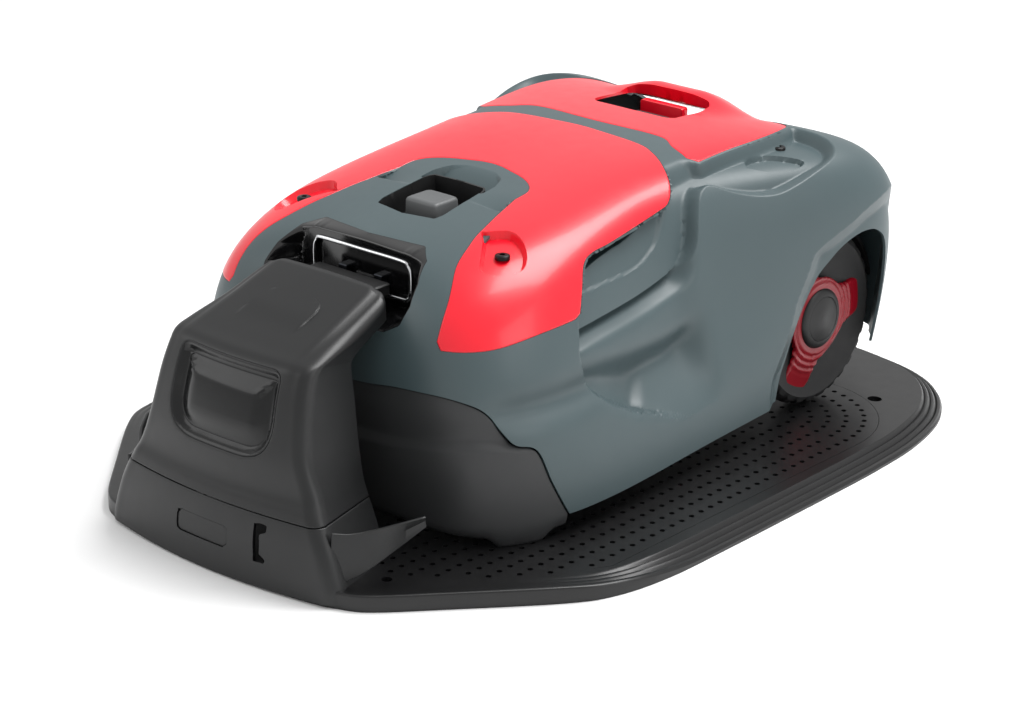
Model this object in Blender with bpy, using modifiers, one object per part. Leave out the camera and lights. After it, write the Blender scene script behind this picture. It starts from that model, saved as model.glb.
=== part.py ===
"""Robotic lawn mower docked on its charging station.

Metres, +Z up. The origin is at the middle of the footprint, on the floor. The mower's front, and the
station's tower, face -Y. The mower stands on the base plate and leaves the station towards +Y.
"""

import math

import bmesh
import bpy
from mathutils import Matrix, Vector

# ---- driving dimensions, metres -----------------------------------------------------------------
GAP = 0.0003  # clearance between pieces that touch
PLATE_THICK = 0.0175
PLATE_BEVEL = 0.003
RAMP_START_Y = 0.300  # the plate falls from here to its rear edge
RAMP_LOW = 0.004
WHEEL_GAP = 0.0005  # tyres just clear of the plate, so the mower can roll off it
WHEEL_R = 0.100
WHEEL_X = 0.197  # middle of the tyre
WHEEL_Y = 0.260
TYRE_WIDTH = 0.046
CASTER_X = 0.165
CASTER_Y = -0.190
CASTER_R = 0.042
CASTER_TRAIL = 0.022
SHELL = 0.0035  # hood wall
COVER = 0.0025  # red covers, which lie on the hood
COVER_GAP = 0.0012  # under the covers, more than GAP because the faceted walls are not parallel
FOOT_TOP = 0.076  # seam between the tower's foot and its housing
TUB_HALF = 0.150
TUB_FLOOR = 0.110
TUB_TOP = 0.165
DISC_Y = -0.030
DISC_Z = 0.0815
DISC_R = 0.100
BLADE_PIVOT_R = 0.090
BLADE_LENGTH = 0.036
SCREWS = ((0.140, -0.178, 0.0036), (0.167, 0.240, 0.0020))  # hood screws at +X: (x, y, head's rise)
KNOB_Y = -0.130
KNOB_TOP = 0.304
PORT_BACK_Y = -0.2305
CONTACT_X = 0.025
CONTACT_Z = 0.249
HANDLE_TOP = 0.344
SIDES = (("left", -1), ("right", 1))
CORNERS = ("front_left", "front_right", "rear_left", "rear_right")

WHEEL_Z = PLATE_THICK + WHEEL_GAP + WHEEL_R
CASTER_Z = PLATE_THICK + WHEEL_GAP + CASTER_R

# Half of the base plate's outline, seen from above, from the front to the rear (x, y).
PLATE_HALF = (
    (0.060, -0.4575),
    (0.157, -0.442),
    (0.190, -0.425),
    (0.239, -0.372),
    (0.316, -0.285),
    (0.345, -0.235),
    (0.3565, -0.172),
    (0.3575, -0.080),
    (0.354, 0.087),
    (0.348, 0.190),
    (0.331, 0.277),
    (0.300, 0.354),
    (0.256, 0.404),
    (0.200, 0.438),
    (0.128, 0.4575),
    (0.050, 0.460),
)
PLATE_HOLES = ((0.255, 0.316), (0.175, -0.386))
PLATE_HOLE_R = 0.0075

# The tower's section at x = 0, from the front of its foot over the arm to its back: (y, z, half width).
TOWER_SECTION = (
    (-0.452, 0.018, 0.160),
    (-0.446, 0.060, 0.145),
    (-0.438, 0.092, 0.128),
    (-0.433, 0.135, 0.108),
    (-0.412, 0.216, 0.098),
    (-0.281, 0.268, 0.085),
    (-0.281, 0.236, 0.085),
    (-0.345, 0.214, 0.090),
    (-0.350, 0.092, 0.112),
    (-0.350, 0.018, 0.140),
)
TOWER_BOW = 0.012  # how far the middle of the front stands ahead of its ends

# The hood's control cage: half rings from the front middle, round the side, to the rear middle.
# Each row is one level, from the skirt up to the spine, and holds (x, y, z) points.
HOOD_CAGE = (
    (
        (0, -0.296, 0.040),
        (0.110, -0.296, 0.040),
        (0.205, -0.290, 0.040),
        (0.246, -0.200, 0.040),
        (0.246, -0.080, 0.042),
        (0.240, 0.030, 0.046),
        (0.240, 0.130, 0.050),
        (0.244, 0.250, 0.060),
        (0.240, 0.372, 0.075),
        (0.120, 0.388, 0.075),
        (0, 0.388, 0.075),
    ),
    (
        (0, -0.300, 0.100),
        (0.110, -0.300, 0.100),
        (0.205, -0.294, 0.100),
        (0.246, -0.200, 0.095),
        (0.243, -0.080, 0.090),
        (0.236, 0.030, 0.095),
        (0.238, 0.130, 0.100),
        (0.246, 0.250, 0.110),
        (0.248, 0.380, 0.120),
        (0.120, 0.390, 0.120),
        (0, 0.390, 0.120),
    ),
    (
        (0, -0.298, 0.165),
        (0.105, -0.298, 0.165),
        (0.198, -0.288, 0.165),
        (0.230, -0.200, 0.165),
        (0.222, -0.080, 0.160),
        (0.204, 0.030, 0.165),
        (0.222, 0.130, 0.170),
        (0.256, 0.250, 0.180),
        (0.256, 0.382, 0.180),
        (0.120, 0.385, 0.180),
        (0, 0.385, 0.180),
    ),
    (
        (0, -0.292, 0.222),
        (0.090, -0.292, 0.222),
        (0.180, -0.286, 0.225),
        (0.214, -0.190, 0.230),
        (0.208, -0.080, 0.230),
        (0.192, 0.030, 0.238),
        (0.210, 0.130, 0.248),
        (0.257, 0.250, 0.252),
        (0.254, 0.378, 0.246),
        (0.120, 0.380, 0.235),
        (0, 0.380, 0.235),
    ),
    (
        (0, -0.270, 0.262),
        (0.080, -0.270, 0.262),
        (0.152, -0.262, 0.264),
        (0.188, -0.180, 0.278),
        (0.186, -0.070, 0.292),
        (0.175, 0.030, 0.303),
        (0.192, 0.130, 0.308),
        (0.240, 0.245, 0.312),
        (0.232, 0.350, 0.300),
        (0.110, 0.356, 0.275),
        (0, 0.356, 0.272),
    ),
    (
        (0, -0.240, 0.286),
        (0.060, -0.240, 0.286),
        (0.105, -0.228, 0.288),
        (0.138, -0.172, 0.304),
        (0.138, -0.060, 0.319),
        (0.134, 0.040, 0.330),
        (0.140, 0.130, 0.330),
        (0.172, 0.230, 0.328),
        (0.158, 0.300, 0.320),
        (0.080, 0.306, 0.308),
        (0, 0.306, 0.308),
    ),
    (
        (0, -0.222, 0.294),
        (0, -0.205, 0.297),
        (0, -0.185, 0.301),
        (0, -0.130, 0.309),
        (0, -0.050, 0.320),
        (0, 0.040, 0.329),
        (0, 0.130, 0.332),
        (0, 0.195, 0.332),
        (0, 0.240, 0.328),
        (0, 0.265, 0.322),
        (0, 0.280, 0.317),
    ),
)

# Outlines seen from above (x, y); only the half at +X.
FRONT_COVER_HALF = (
    (0.0, -0.040),
    (0.046, -0.046),
    (0.062, -0.062),
    (0.074, -0.140),
    (0.092, -0.215),
    (0.120, -0.262),
    (0.160, -0.310),
    (0.260, -0.310),
    (0.260, -0.125),
    (0.185, -0.120),
    (0.150, 0.020),
    (0.140, 0.088),
    (0.085, 0.104),
    (0.0, 0.110),
)
REAR_COVER_HALF = (
    (0.0, 0.142),
    (0.085, 0.137),
    (0.135, 0.128),
    (0.150, 0.200),
    (0.140, 0.300),
    (0.125, 0.318),
    (0.075, 0.318),
    (0.0, 0.318),
)
HANDLE_HOLE_HALF = (
    (0.0, 0.190),
    (0.050, 0.190),
    (0.060, 0.200),
    (0.066, 0.250),
    (0.062, 0.268),
    (0.0, 0.272),
)

# ---- colours, linear RGB -------------------------------------------------------------------------
RED = (0.93, 0.020, 0.060)
DARK_RED = (0.22, 0.008, 0.014)
SLATE = (0.095, 0.125, 0.130)
BUMPER_GREY = (0.055, 0.055, 0.057)
STATION_BLACK = (0.018, 0.018, 0.019)
PLATE_BLACK = (0.028, 0.029, 0.030)
DEEP_BLACK = (0.006, 0.006, 0.006)
TYRE_BLACK = (0.012, 0.012, 0.012)
SMOKE = (0.010, 0.010, 0.011)
STEEL = (0.55, 0.56, 0.57)
CHROME = (0.85, 0.86, 0.87)
BRASS = (0.70, 0.50, 0.20)
BOARD_GREEN = (0.02, 0.14, 0.05)
BATTERY_BLUE = (0.03, 0.07, 0.16)
CHASSIS_GREY = (0.035, 0.036, 0.038)
RUBBER = (0.015, 0.015, 0.015)
LIGHT_WHITE = (0.80, 0.82, 0.80)


# ---- scene, collections and materials ------------------------------------------------------------
def clear_scene():
    for obj in list(bpy.data.objects):
        bpy.data.objects.remove(obj, do_unlink=True)


def new_collection(name):
    collection = bpy.data.collections.new(name)
    bpy.context.scene.collection.children.link(collection)
    return collection


def material(name, colour, roughness, metallic=0.0):
    made = bpy.data.materials.new(name)
    made.use_nodes = True
    shader = made.node_tree.nodes["Principled BSDF"]
    shader.inputs["Base Color"].default_value = (*colour, 1.0)
    shader.inputs["Roughness"].default_value = roughness
    shader.inputs["Metallic"].default_value = metallic
    made.diffuse_color = (*colour, 1.0)
    return made


def place(obj, collection):
    for old in list(obj.users_collection):
        old.objects.unlink(obj)
    collection.objects.link(obj)


def finish(obj, name, finish_material):
    obj.name = name
    obj.data.name = name
    obj.data.materials.clear()
    obj.data.materials.append(finish_material)
    place(obj, PARTS)
    obj.data.shade_smooth()
    obj.data.set_sharp_from_angle(angle=math.radians(35))
    return obj


def as_cutter(obj):
    place(obj, CUTTERS)
    obj.hide_render = True
    obj.display_type = "WIRE"
    return obj


# ---- basic shapes --------------------------------------------------------------------------------
def object_of(bm, name):
    mesh = bpy.data.meshes.new(name)
    bm.to_mesh(mesh)
    bm.free()
    obj = bpy.data.objects.new(name, mesh)
    PARTS.objects.link(obj)
    return obj


def box(name, low, high, bevel=0.0, segments=2):
    """A box between two corners, with its edges rounded by bevel."""
    low, high = Vector(low), Vector(high)
    bm = bmesh.new()
    bmesh.ops.create_cube(bm, size=1.0)
    bmesh.ops.scale(bm, vec=high - low, verts=bm.verts)
    bmesh.ops.translate(bm, vec=(low + high) / 2, verts=bm.verts)
    obj = object_of(bm, name)
    if bevel:
        add_bevel(obj, bevel, segments)
    return obj


def add_bevel(obj, width, segments=2, angle=40):
    bevel = obj.modifiers.new("Bevel", "BEVEL")
    bevel.width = width
    bevel.segments = segments
    bevel.limit_method = "ANGLE"
    bevel.angle_limit = math.radians(angle)
    return bevel


def rod(name, start, end, radius, segments=24, radius_end=None):
    """A cylinder, or a cone, from start to end."""
    start, end = Vector(start), Vector(end)
    bm = bmesh.new()
    bmesh.ops.create_cone(
        bm,
        cap_ends=True,
        segments=segments,
        radius1=radius,
        radius2=radius if radius_end is None else radius_end,
        depth=(end - start).length,
    )
    turn = (end - start).to_track_quat("Z", "Y").to_matrix().to_4x4()
    bmesh.ops.transform(bm, matrix=Matrix.Translation((start + end) / 2) @ turn, verts=bm.verts)
    return object_of(bm, name)


def turned(name, profile, axis="Z", steps=32):
    """A closed profile of (radius, height) points, turned about the object's own axis with Screw."""
    bm = bmesh.new()
    points = [bm.verts.new((radius, 0, height)) for radius, height in profile]
    for first, second in zip(points, points[1:]):
        bm.edges.new((first, second))
    if profile[0][0] > 0:
        bm.edges.new((points[-1], points[0]))
    obj = object_of(bm, name)
    screw = obj.modifiers.new("Screw", "SCREW")
    screw.axis = "Z"
    screw.steps = steps
    screw.render_steps = steps
    screw.use_merge_vertices = True
    screw.merge_threshold = 0.00001
    if axis == "X":
        obj.rotation_euler = (0, math.radians(90), 0)
    return obj


def mesh_of_curve(curve_obj, name):
    """Turns a curve object into a closed mesh object."""
    bpy.context.view_layer.update()
    graph = bpy.context.evaluated_depsgraph_get()
    mesh = bpy.data.meshes.new_from_object(curve_obj.evaluated_get(graph))
    bm = bmesh.new()
    bm.from_mesh(mesh)
    bmesh.ops.remove_doubles(bm, verts=bm.verts, dist=0.00001)
    bmesh.ops.recalc_face_normals(bm, faces=bm.faces)
    bm.to_mesh(mesh)
    bm.free()
    obj = bpy.data.objects.new(name, mesh)
    obj.matrix_world = curve_obj.matrix_world
    PARTS.objects.link(obj)
    bpy.data.objects.remove(curve_obj, do_unlink=True)
    return obj


def slab(name, outline, low, high, plane="XY"):
    """A flat outline, given in its plane, extruded between low and high across that plane."""
    data = bpy.data.curves.new(name, "CURVE")
    data.dimensions = "2D"
    data.fill_mode = "BOTH"
    data.extrude = (high - low) / 2
    spline = data.splines.new("POLY")
    spline.points.add(len(outline) - 1)
    for point, (u, v) in zip(spline.points, outline):
        point.co = (u, v, 0, 1)
    spline.use_cyclic_u = True
    curve_obj = bpy.data.objects.new(name, data)
    middle = (low + high) / 2
    frames = {
        "XY": Matrix.Translation((0, 0, middle)),
        "XZ": Matrix.Translation((0, middle, 0)) @ Matrix.Rotation(math.radians(90), 4, "X"),
        "YZ": Matrix.Translation((middle, 0, 0))
        @ Matrix.Rotation(math.radians(90), 4, "Z")
        @ Matrix.Rotation(math.radians(90), 4, "X"),
    }
    curve_obj.matrix_world = frames[plane]
    PARTS.objects.link(curve_obj)
    return apply_transform(mesh_of_curve(curve_obj, name))


def tube(name, points, radius):
    """A round bar through the given points."""
    data = bpy.data.curves.new(name, "CURVE")
    data.dimensions = "3D"
    data.bevel_depth = radius
    data.bevel_resolution = 2
    data.use_fill_caps = True
    spline = data.splines.new("POLY")
    spline.points.add(len(points) - 1)
    for point, position in zip(spline.points, points):
        point.co = (*position, 1)
    curve_obj = bpy.data.objects.new(name, data)
    PARTS.objects.link(curve_obj)
    return mesh_of_curve(curve_obj, name)


def mirrored(half):
    """A whole outline from its half at +X, whose points run from one end to the other."""
    other = [(-x, y) for x, y in reversed(half) if x > 0]
    return list(half) + other


def rounded_rectangle(low, high, radius, steps=4):
    """The outline of a rectangle with round corners."""
    corners = (
        (high[0] - radius, high[1] - radius, 0),
        (low[0] + radius, high[1] - radius, 90),
        (low[0] + radius, low[1] + radius, 180),
        (high[0] - radius, low[1] + radius, 270),
    )
    points = []
    for x, y, start in corners:
        for step in range(steps + 1):
            angle = math.radians(start + 90 * step / steps)
            points.append((x + radius * math.cos(angle), y + radius * math.sin(angle)))
    return points


def apply_transform(obj):
    obj.data.transform(obj.matrix_basis)
    obj.matrix_basis = Matrix.Identity(4)
    return obj


def bake(obj):
    """Replaces the object's mesh by its evaluated one and drops the modifiers."""
    bpy.context.view_layer.update()
    graph = bpy.context.evaluated_depsgraph_get()
    mesh = bpy.data.meshes.new_from_object(obj.evaluated_get(graph))
    obj.modifiers.clear()
    obj.data = mesh
    return obj


def boolean(obj, other, operation):
    modifier = obj.modifiers.new(operation.title(), "BOOLEAN")
    modifier.operation = operation
    modifier.solver = "EXACT"
    modifier.object = as_cutter(other)
    return obj


def cut(obj, *cutters):
    for cutter in cutters:
        boolean(obj, cutter, "DIFFERENCE")
    return obj


def join(obj, *others):
    for other in others:
        boolean(obj, other, "UNION")
    return obj


def keep_inside(obj, shape):
    return boolean(obj, shape, "INTERSECT")


def pivot(obj, point):
    """Moves the object's origin to a point on its joint's axis, without moving the shape."""
    apply_transform(obj)
    obj.data.transform(Matrix.Translation(-Vector(point)))
    obj.location = point
    return obj


# ---- charging station ----------------------------------------------------------------------------
def make_base_plate():
    plate = slab("base_plate", mirrored(PLATE_HALF), 0.0, PLATE_THICK)
    above_ramp = ((RAMP_START_Y, PLATE_THICK), (0.50, RAMP_LOW), (0.50, 0.1), (RAMP_START_Y, 0.1))
    cut(plate, slab("above_ramp", above_ramp, -0.5, 0.5, "YZ"))
    bake(plate)
    add_bevel(plate, PLATE_BEVEL, 1, 60)
    for x, y in PLATE_HOLES:
        for side in (-1, 1):
            cut(plate, rod("peg_hole", (side * x, y, -0.01), (side * x, y, 0.05), PLATE_HOLE_R, 10))
    return finish(plate, "base_plate", material("plate_black", PLATE_BLACK, 0.42))


def tower_solid(name, inset=0.0, low=None):
    """The tower's whole outer form, shrunk by inset all round. Low replaces the height of its base."""
    columns = (-1.0, -0.55, 0.0, 0.55, 1.0)
    middle_y = -0.375
    bm = bmesh.new()
    rings = []
    for column in columns:
        ring = []
        for y, z, half in TOWER_SECTION:
            front = y < middle_y
            bow = TOWER_BOW * (1 - column * column) if front else 0.0
            inward = inset if front else -inset
            height = z - inset if z > 0.2 else z
            if z < 0.02:
                height = low if low is not None else z
            ring.append(bm.verts.new((column * (half - inset), y - bow + inward, height)))
        rings.append(ring)
    count = len(TOWER_SECTION)
    for first, second in zip(rings, rings[1:]):
        for i in range(count):
            j = (i + 1) % count
            bm.faces.new((first[i], first[j], second[j], second[i]))
    bm.faces.new(rings[0])
    bm.faces.new(reversed(rings[-1]))
    bmesh.ops.triangulate(bm, faces=bm.faces)
    bmesh.ops.recalc_face_normals(bm, faces=bm.faces)
    return object_of(bm, name)


def window_outline(margin):
    return rounded_rectangle(
        (-0.074 + margin, 0.128 + margin), (0.074 - margin, 0.207 - margin), 0.028, 4
    )


def cable_cover_outline(margin):
    return rounded_rectangle((-0.052 + margin, 0.028 + margin), (0.050 - margin, 0.066 - margin), 0.006, 2)


def make_tower_housing():
    housing = tower_solid("tower_housing")
    cut(housing, box("below_seam", (-0.3, -0.6, -0.1), (0.3, -0.2, FOOT_TOP)))
    hollow = tower_solid("tower_hollow", 0.004, -0.05)
    hollow.location.z = -0.002
    cut(housing, hollow)
    cut(housing, box("rear_opening", (-0.080, -0.36, 0.05), (0.080, -0.34, 0.205)))
    cut(housing, slab("window_opening", window_outline(0.0), -0.50, -0.40, "XZ"))
    cut(housing, box("contact_opening", (-0.052, -0.30, 0.242), (0.052, -0.27, 0.256)))
    return finish(housing, "tower_housing", material("tower_black", STATION_BLACK, 0.36))


def make_status_window():
    window = tower_solid("status_window", 0.0012)
    inner = tower_solid("window_back", 0.0042, -0.02)
    cut(window, inner)
    keep_inside(window, slab("window_shape", window_outline(0.0006), -0.50, -0.40, "XZ"))
    return finish(window, "status_window", material("smoked_window", SMOKE, 0.08))


def make_status_light():
    light = box("status_light", (-0.030, -0.424, 0.160), (0.030, -0.418, 0.172), 0.001)
    return finish(light, "status_light", material("light_white", LIGHT_WHITE, 0.3))


def make_station_foot():
    foot = tower_solid("station_foot")
    cut(foot, box("above_seam", (-0.3, -0.6, FOOT_TOP - GAP), (0.3, -0.2, 0.4)))
    hollow = tower_solid("foot_hollow", 0.004, -0.05)
    cut(foot, hollow)
    cut(foot, slab("cable_opening", cable_cover_outline(0.0), -0.50, -0.42, "XZ"))
    cut(foot, box("cord_inlet", (0.062, -0.48, 0.028), (0.074, -0.42, 0.066)))
    for _, side in SIDES:
        join(foot, make_wing(side))
    return finish(foot, "station_foot", material("foot_black", STATION_BLACK, 0.38))


def make_wing(side):
    """The curved guide wall that sweeps out and back from a corner of the foot."""
    bottom = PLATE_THICK + GAP
    inner = ((0.146, -0.440), (0.176, -0.400), (0.193, -0.356))
    outer = ((0.152, -0.444), (0.183, -0.404), (0.200, -0.357))
    tops = (0.070, 0.088, 0.092)
    bm = bmesh.new()
    sections = []
    for (xi, yi), (xo, yo), top in zip(inner, outer, tops):
        corners = ((xi, yi, bottom), (xo, yo, bottom), (xo, yo, top), (xi, yi, top))
        sections.append([bm.verts.new((side * x, y, z)) for x, y, z in corners])
    for first, second in zip(sections, sections[1:]):
        for i in range(4):
            j = (i + 1) % 4
            bm.faces.new((first[i], first[j], second[j], second[i]))
    bm.faces.new(sections[0])
    bm.faces.new(sections[-1])
    bmesh.ops.triangulate(bm, faces=bm.faces)
    bmesh.ops.recalc_face_normals(bm, faces=bm.faces)
    wing = object_of(bm, "wing")
    web = slab(
        "wing_web",
        [(side * x, y) for x, y in ((0.120, -0.430), (0.150, -0.441), (0.194, -0.360), (0.130, -0.352))],
        bottom,
        bottom + 0.006,
    )
    join(wing, web)
    return bake(wing)


def make_cable_cover():
    cover = tower_solid("cable_cover", 0.0006)
    cut(cover, tower_solid("cover_back", 0.0036, -0.02))
    keep_inside(cover, slab("cable_cover_shape", cable_cover_outline(0.0006), -0.50, -0.42, "XZ"))
    return finish(cover, "cable_cover", material("cover_black", STATION_BLACK, 0.42))


def make_rear_tower_cover():
    cover = box("tower_rear_cover", (-0.0795, -0.3535, 0.0505), (0.0795, -0.3465, 0.2045), 0.001, 1)
    cut(cover, box("below", (-0.1, -0.36, 0.0), (0.1, -0.34, FOOT_TOP + GAP)))
    return finish(cover, "tower_rear_cover", material("rear_cover_black", STATION_BLACK, 0.45))


def make_contact_block():
    low, high = CONTACT_Z - 0.0065, CONTACT_Z + 0.0065
    block = box("contact_block", (-0.050, -0.300, low), (0.050, -0.2455, high), 0.0015, 1)
    for _, side in SIDES:
        slot_low = (side * CONTACT_X - 0.006, -0.277, low + 0.0025)
        slot_high = (side * CONTACT_X + 0.006, -0.24, high - 0.0025)
        cut(block, box("contact_slot", slot_low, slot_high))
    return finish(block, "contact_block", material("block_black", DEEP_BLACK, 0.4))


def make_station_contacts():
    for name, side in SIDES:
        x = side * CONTACT_X
        low = (x - 0.005, -0.2725, CONTACT_Z - 0.003)
        high = (x + 0.005, -0.2388, CONTACT_Z + 0.003)
        contact = box(f"station_contact_{name}", low, high, 0.0012, 2)
        pivot(contact, (x, -0.2388, CONTACT_Z))
        finish(contact, f"station_contact_{name}", material(f"contact_{name}", BRASS, 0.25, 1.0))


def make_station_board():
    board = box("station_circuit_board", (-0.055, -0.398, 0.095), (0.055, -0.3964, 0.185))
    return finish(board, "station_circuit_board", material("station_board_green", BOARD_GREEN, 0.4))


# ---- hood and everything that floats with it -----------------------------------------------------
def hood_surface(name):
    """The hood's outer surface: the half cage, mirrored and subdivided once."""
    bm = bmesh.new()
    rows = [[bm.verts.new(point) for point in level] for level in HOOD_CAGE]
    for low, high in zip(rows, rows[1:]):
        for i in range(len(low) - 1):
            bm.faces.new((low[i], low[i + 1], high[i + 1], high[i]))
    obj = object_of(bm, name)
    mirror = obj.modifiers.new("Mirror", "MIRROR")
    mirror.merge_threshold = 0.0001
    mirror.use_clip = True
    soft = obj.modifiers.new("Subdivision", "SUBSURF")
    soft.levels = 1
    soft.render_levels = 1
    bake(obj)
    bm = bmesh.new()
    bm.from_mesh(obj.data)
    bmesh.ops.remove_doubles(bm, verts=bm.verts, dist=0.00001)
    bmesh.ops.recalc_face_normals(bm, faces=bm.faces)
    bm.normal_update()
    bm.to_mesh(obj.data)
    bm.free()
    return obj


def hood_skin(name, offset, thickness, side):
    """A closed wall that starts offset outside the hood's surface and grows outwards (1) or inwards (-1)."""
    obj = hood_surface(name)
    normals = [vertex.normal.copy() for vertex in obj.data.vertices]
    for vertex, normal in zip(obj.data.vertices, normals):
        vertex.co += normal * offset
    solid = obj.modifiers.new("Solidify", "SOLIDIFY")
    solid.thickness = thickness
    solid.offset = side
    solid.use_even_offset = True
    return bake(obj)


def bumper_zone(name, grow):
    """The front lower part of the hood's form, which the bumper takes."""
    outline = (
        (-0.36, 0.0),
        (-0.190 + grow, 0.0),
        (-0.190 + grow, 0.040),
        (-0.250 + grow, 0.128 + grow),
        (-0.290 + grow, 0.158 + grow),
        (-0.36, 0.164 + grow),
    )
    return slab(name, outline, -0.3, 0.3, "YZ")


def wheel_opening(name, side, radius, rear):
    """The wheel arch, open below and behind as far as rear."""
    outline = [(0.150, 0.0), (0.180, 0.075)]
    for step in range(7):
        angle = math.radians(165 - step * 22)
        outline.append((WHEEL_Y + 0.022 + radius * math.cos(angle), WHEEL_Z + radius * math.sin(angle)))
    outline += [(rear, 0.100), (rear, 0.0)]
    low, high = (0.165, 0.30) if side > 0 else (-0.30, -0.165)
    return slab(name, outline, low, high, "YZ")


def make_hood_shell():
    hood = hood_skin("hood_shell", 0.0, SHELL, -1)
    cut(hood, bumper_zone("bumper_clearance", GAP * 2))
    for _, side in SIDES:
        cut(hood, wheel_opening("wheel_arch", side, 0.112, 0.42))
    well = rounded_rectangle((-0.0445, -0.1725), (0.0445, -0.0785), 0.012, 2)
    cut(hood, slab("well_opening", well, 0.25, 0.40))
    cut(hood, box("port_opening", (-0.0955, -0.40, 0.2195), (0.0955, PORT_BACK_Y + 0.0035, 0.40)))
    cut(hood, box("handle_bay", (-0.0905, 0.1675, 0.2145), (0.0905, 0.45, 0.45)))
    for x, y, _ in screw_points():
        cut(hood, rod("screw_hole", (x, y, 0.24), (x, y, 0.36), 0.0055, 12))
    return finish(hood, "hood_shell", material("hood_slate", SLATE, 0.38))


def screw_points():
    """The four hood screws: (x, y, height of the underside of the screw's head)."""
    surface = hood_surface("screw_probe")
    points = []
    for x, y, rise in SCREWS:
        for _, side in SIDES:
            _, spot, _, _ = surface.ray_cast(Vector((side * x, y, 0.5)), Vector((0, 0, -1)))
            points.append((side * x, y, spot.z + rise))
    bpy.data.objects.remove(surface, do_unlink=True)
    return points


def make_screw_caps():
    for (x, y, seat), name in zip(screw_points(), CORNERS):
        cap = rod("cap", (x, y, seat - 0.022), (x, y, seat + 0.001), 0.0045, 12)
        join(cap, rod("head", (x, y, seat), (x, y, seat + 0.003), 0.0078, 16))
        finish(bake(cap), f"hood_screw_{name}", material(f"screw_{name}", DEEP_BLACK, 0.35))


def make_front_cover():
    cover = hood_skin("front_cover", COVER_GAP, COVER, 1)
    keep_inside(cover, slab("front_cover_shape", mirrored(FRONT_COVER_HALF), 0.214, 0.40))
    cut(cover, box("cover_port_gap", (-0.0985, -0.40, 0.15), (0.0985, PORT_BACK_Y + 0.006, 0.40)))
    for x, y, _ in screw_points():
        cut(cover, rod("cover_screw_hole", (x, y, 0.24), (x, y, 0.36), 0.0095, 12))
    return finish(cover, "front_cover", material("front_red", RED, 0.28))


def make_rear_cover():
    cover = hood_skin("rear_cover", COVER_GAP, COVER, 1)
    keep_inside(cover, slab("rear_cover_shape", mirrored(REAR_COVER_HALF), 0.245, 0.40))
    cut(cover, box("rear_gap", (-0.0945, 0.262, 0.15), (0.0945, 0.42, 0.40)))
    cut(cover, slab("handle_hole", mirrored(HANDLE_HOLE_HALF), 0.25, 0.42))
    cover = bake(cover)
    radius = 0.013
    top = HANDLE_TOP - radius
    points = []
    steps = 8
    for step in range(steps + 1):
        angle = math.pi * step / steps
        across = -math.cos(angle)
        rise = math.sin(angle) ** 0.6 if 0 < step < steps else 0.0
        points.append((0.100 * across, 0.262 + 0.022 * rise, 0.318 + (top - 0.318) * rise))
    handle = tube("handle_bar", points, radius)
    cut(handle, hood_skin("under_handle", COVER_GAP - GAP, 0.030, -1))
    join(cover, bake(handle))
    return finish(bake(cover), "rear_cover", material("rear_red", RED, 0.28))


def make_handle_tray():
    """The black bay under the handle: a floor that falls to the rear, between two walls."""
    outline = (
        (0.168, 0.318),
        (0.168, 0.290),
        (0.205, 0.281),
        (0.366, 0.215),
        (0.366, 0.232),
        (0.300, 0.280),
        (0.200, 0.308),
    )
    above_floor = ((0.1715, 0.40), (0.1715, 0.2935), (0.205, 0.2846), (0.380, 0.2128), (0.380, 0.40))
    tray = slab("handle_tray", outline, -0.0900, 0.0900, "YZ")
    cut(tray, slab("tray_hollow", above_floor, -0.0870, 0.0870, "YZ"))
    cut(tray, box("catch_slot", (-0.0330, 0.2080, 0.25), (0.0330, 0.2330, 0.32)))
    cut(tray, box("stop_slot", (-0.0330, 0.2420, 0.24), (0.0330, 0.2560, 0.32)))
    return finish(bake(tray), "handle_tray", material("tray_black", DEEP_BLACK, 0.5))


def make_buttons():
    catch = box("release_catch", (-0.030, 0.2100, 0.262), (0.030, 0.2310, 0.300), 0.003, 2)
    cut(catch, box("catch_grip", (-0.018, 0.205, 0.290), (0.018, 0.222, 0.31)))
    pivot(bake(catch), (0, 0.2205, 0.300))
    finish(catch, "release_catch", material("catch_black", STATION_BLACK, 0.4))
    bar = box("stop_bar", (-0.030, 0.2440, 0.252), (0.030, 0.2540, 0.304), 0.002, 2)
    pivot(bake(bar), (0, 0.249, 0.304))
    finish(bar, "stop_bar", material("stop_red", RED, 0.3))


def make_nose_well():
    """The dished well round the height knob: sloping walls and a floor with a round opening."""
    outer = rounded_rectangle((-0.0440, -0.1720), (0.0440, -0.0790), 0.012, 2)
    well = slab("nose_well", outer, 0.278, 0.302)
    inner = rounded_rectangle((-0.0410, -0.1690), (0.0410, -0.0820), 0.011, 2)
    cut(well, slab("well_hollow", inner, 0.281, 0.32))
    cut(well, box("front_lip", (-0.06, -0.18, 0.2985), (0.06, -0.07, 0.32)))
    cut(well, box("shaft_opening", (-0.008, KNOB_Y - 0.016, 0.27), (0.008, KNOB_Y + 0.016, 0.29)))
    return finish(bake(well), "nose_well", material("well_black", DEEP_BLACK, 0.45))


def make_charge_port():
    """The black box behind the opening in the hood's nose, open to the front and above it."""
    port = box("charge_port", (-0.0950, -0.2600, 0.2200), (0.0950, PORT_BACK_Y + 0.003, 0.2860), 0.0)
    cut(port, box("port_hollow", (-0.0920, -0.30, 0.2230), (0.0920, PORT_BACK_Y, 0.2830)))
    for _, side in SIDES:
        low = (side * CONTACT_X - 0.009, -0.25, CONTACT_Z - 0.010)
        high = (side * CONTACT_X + 0.009, -0.20, CONTACT_Z + 0.010)
        cut(port, box("strip_slot", low, high))
    return finish(bake(port), "charge_port", material("port_black", DEEP_BLACK, 0.3))


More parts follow.
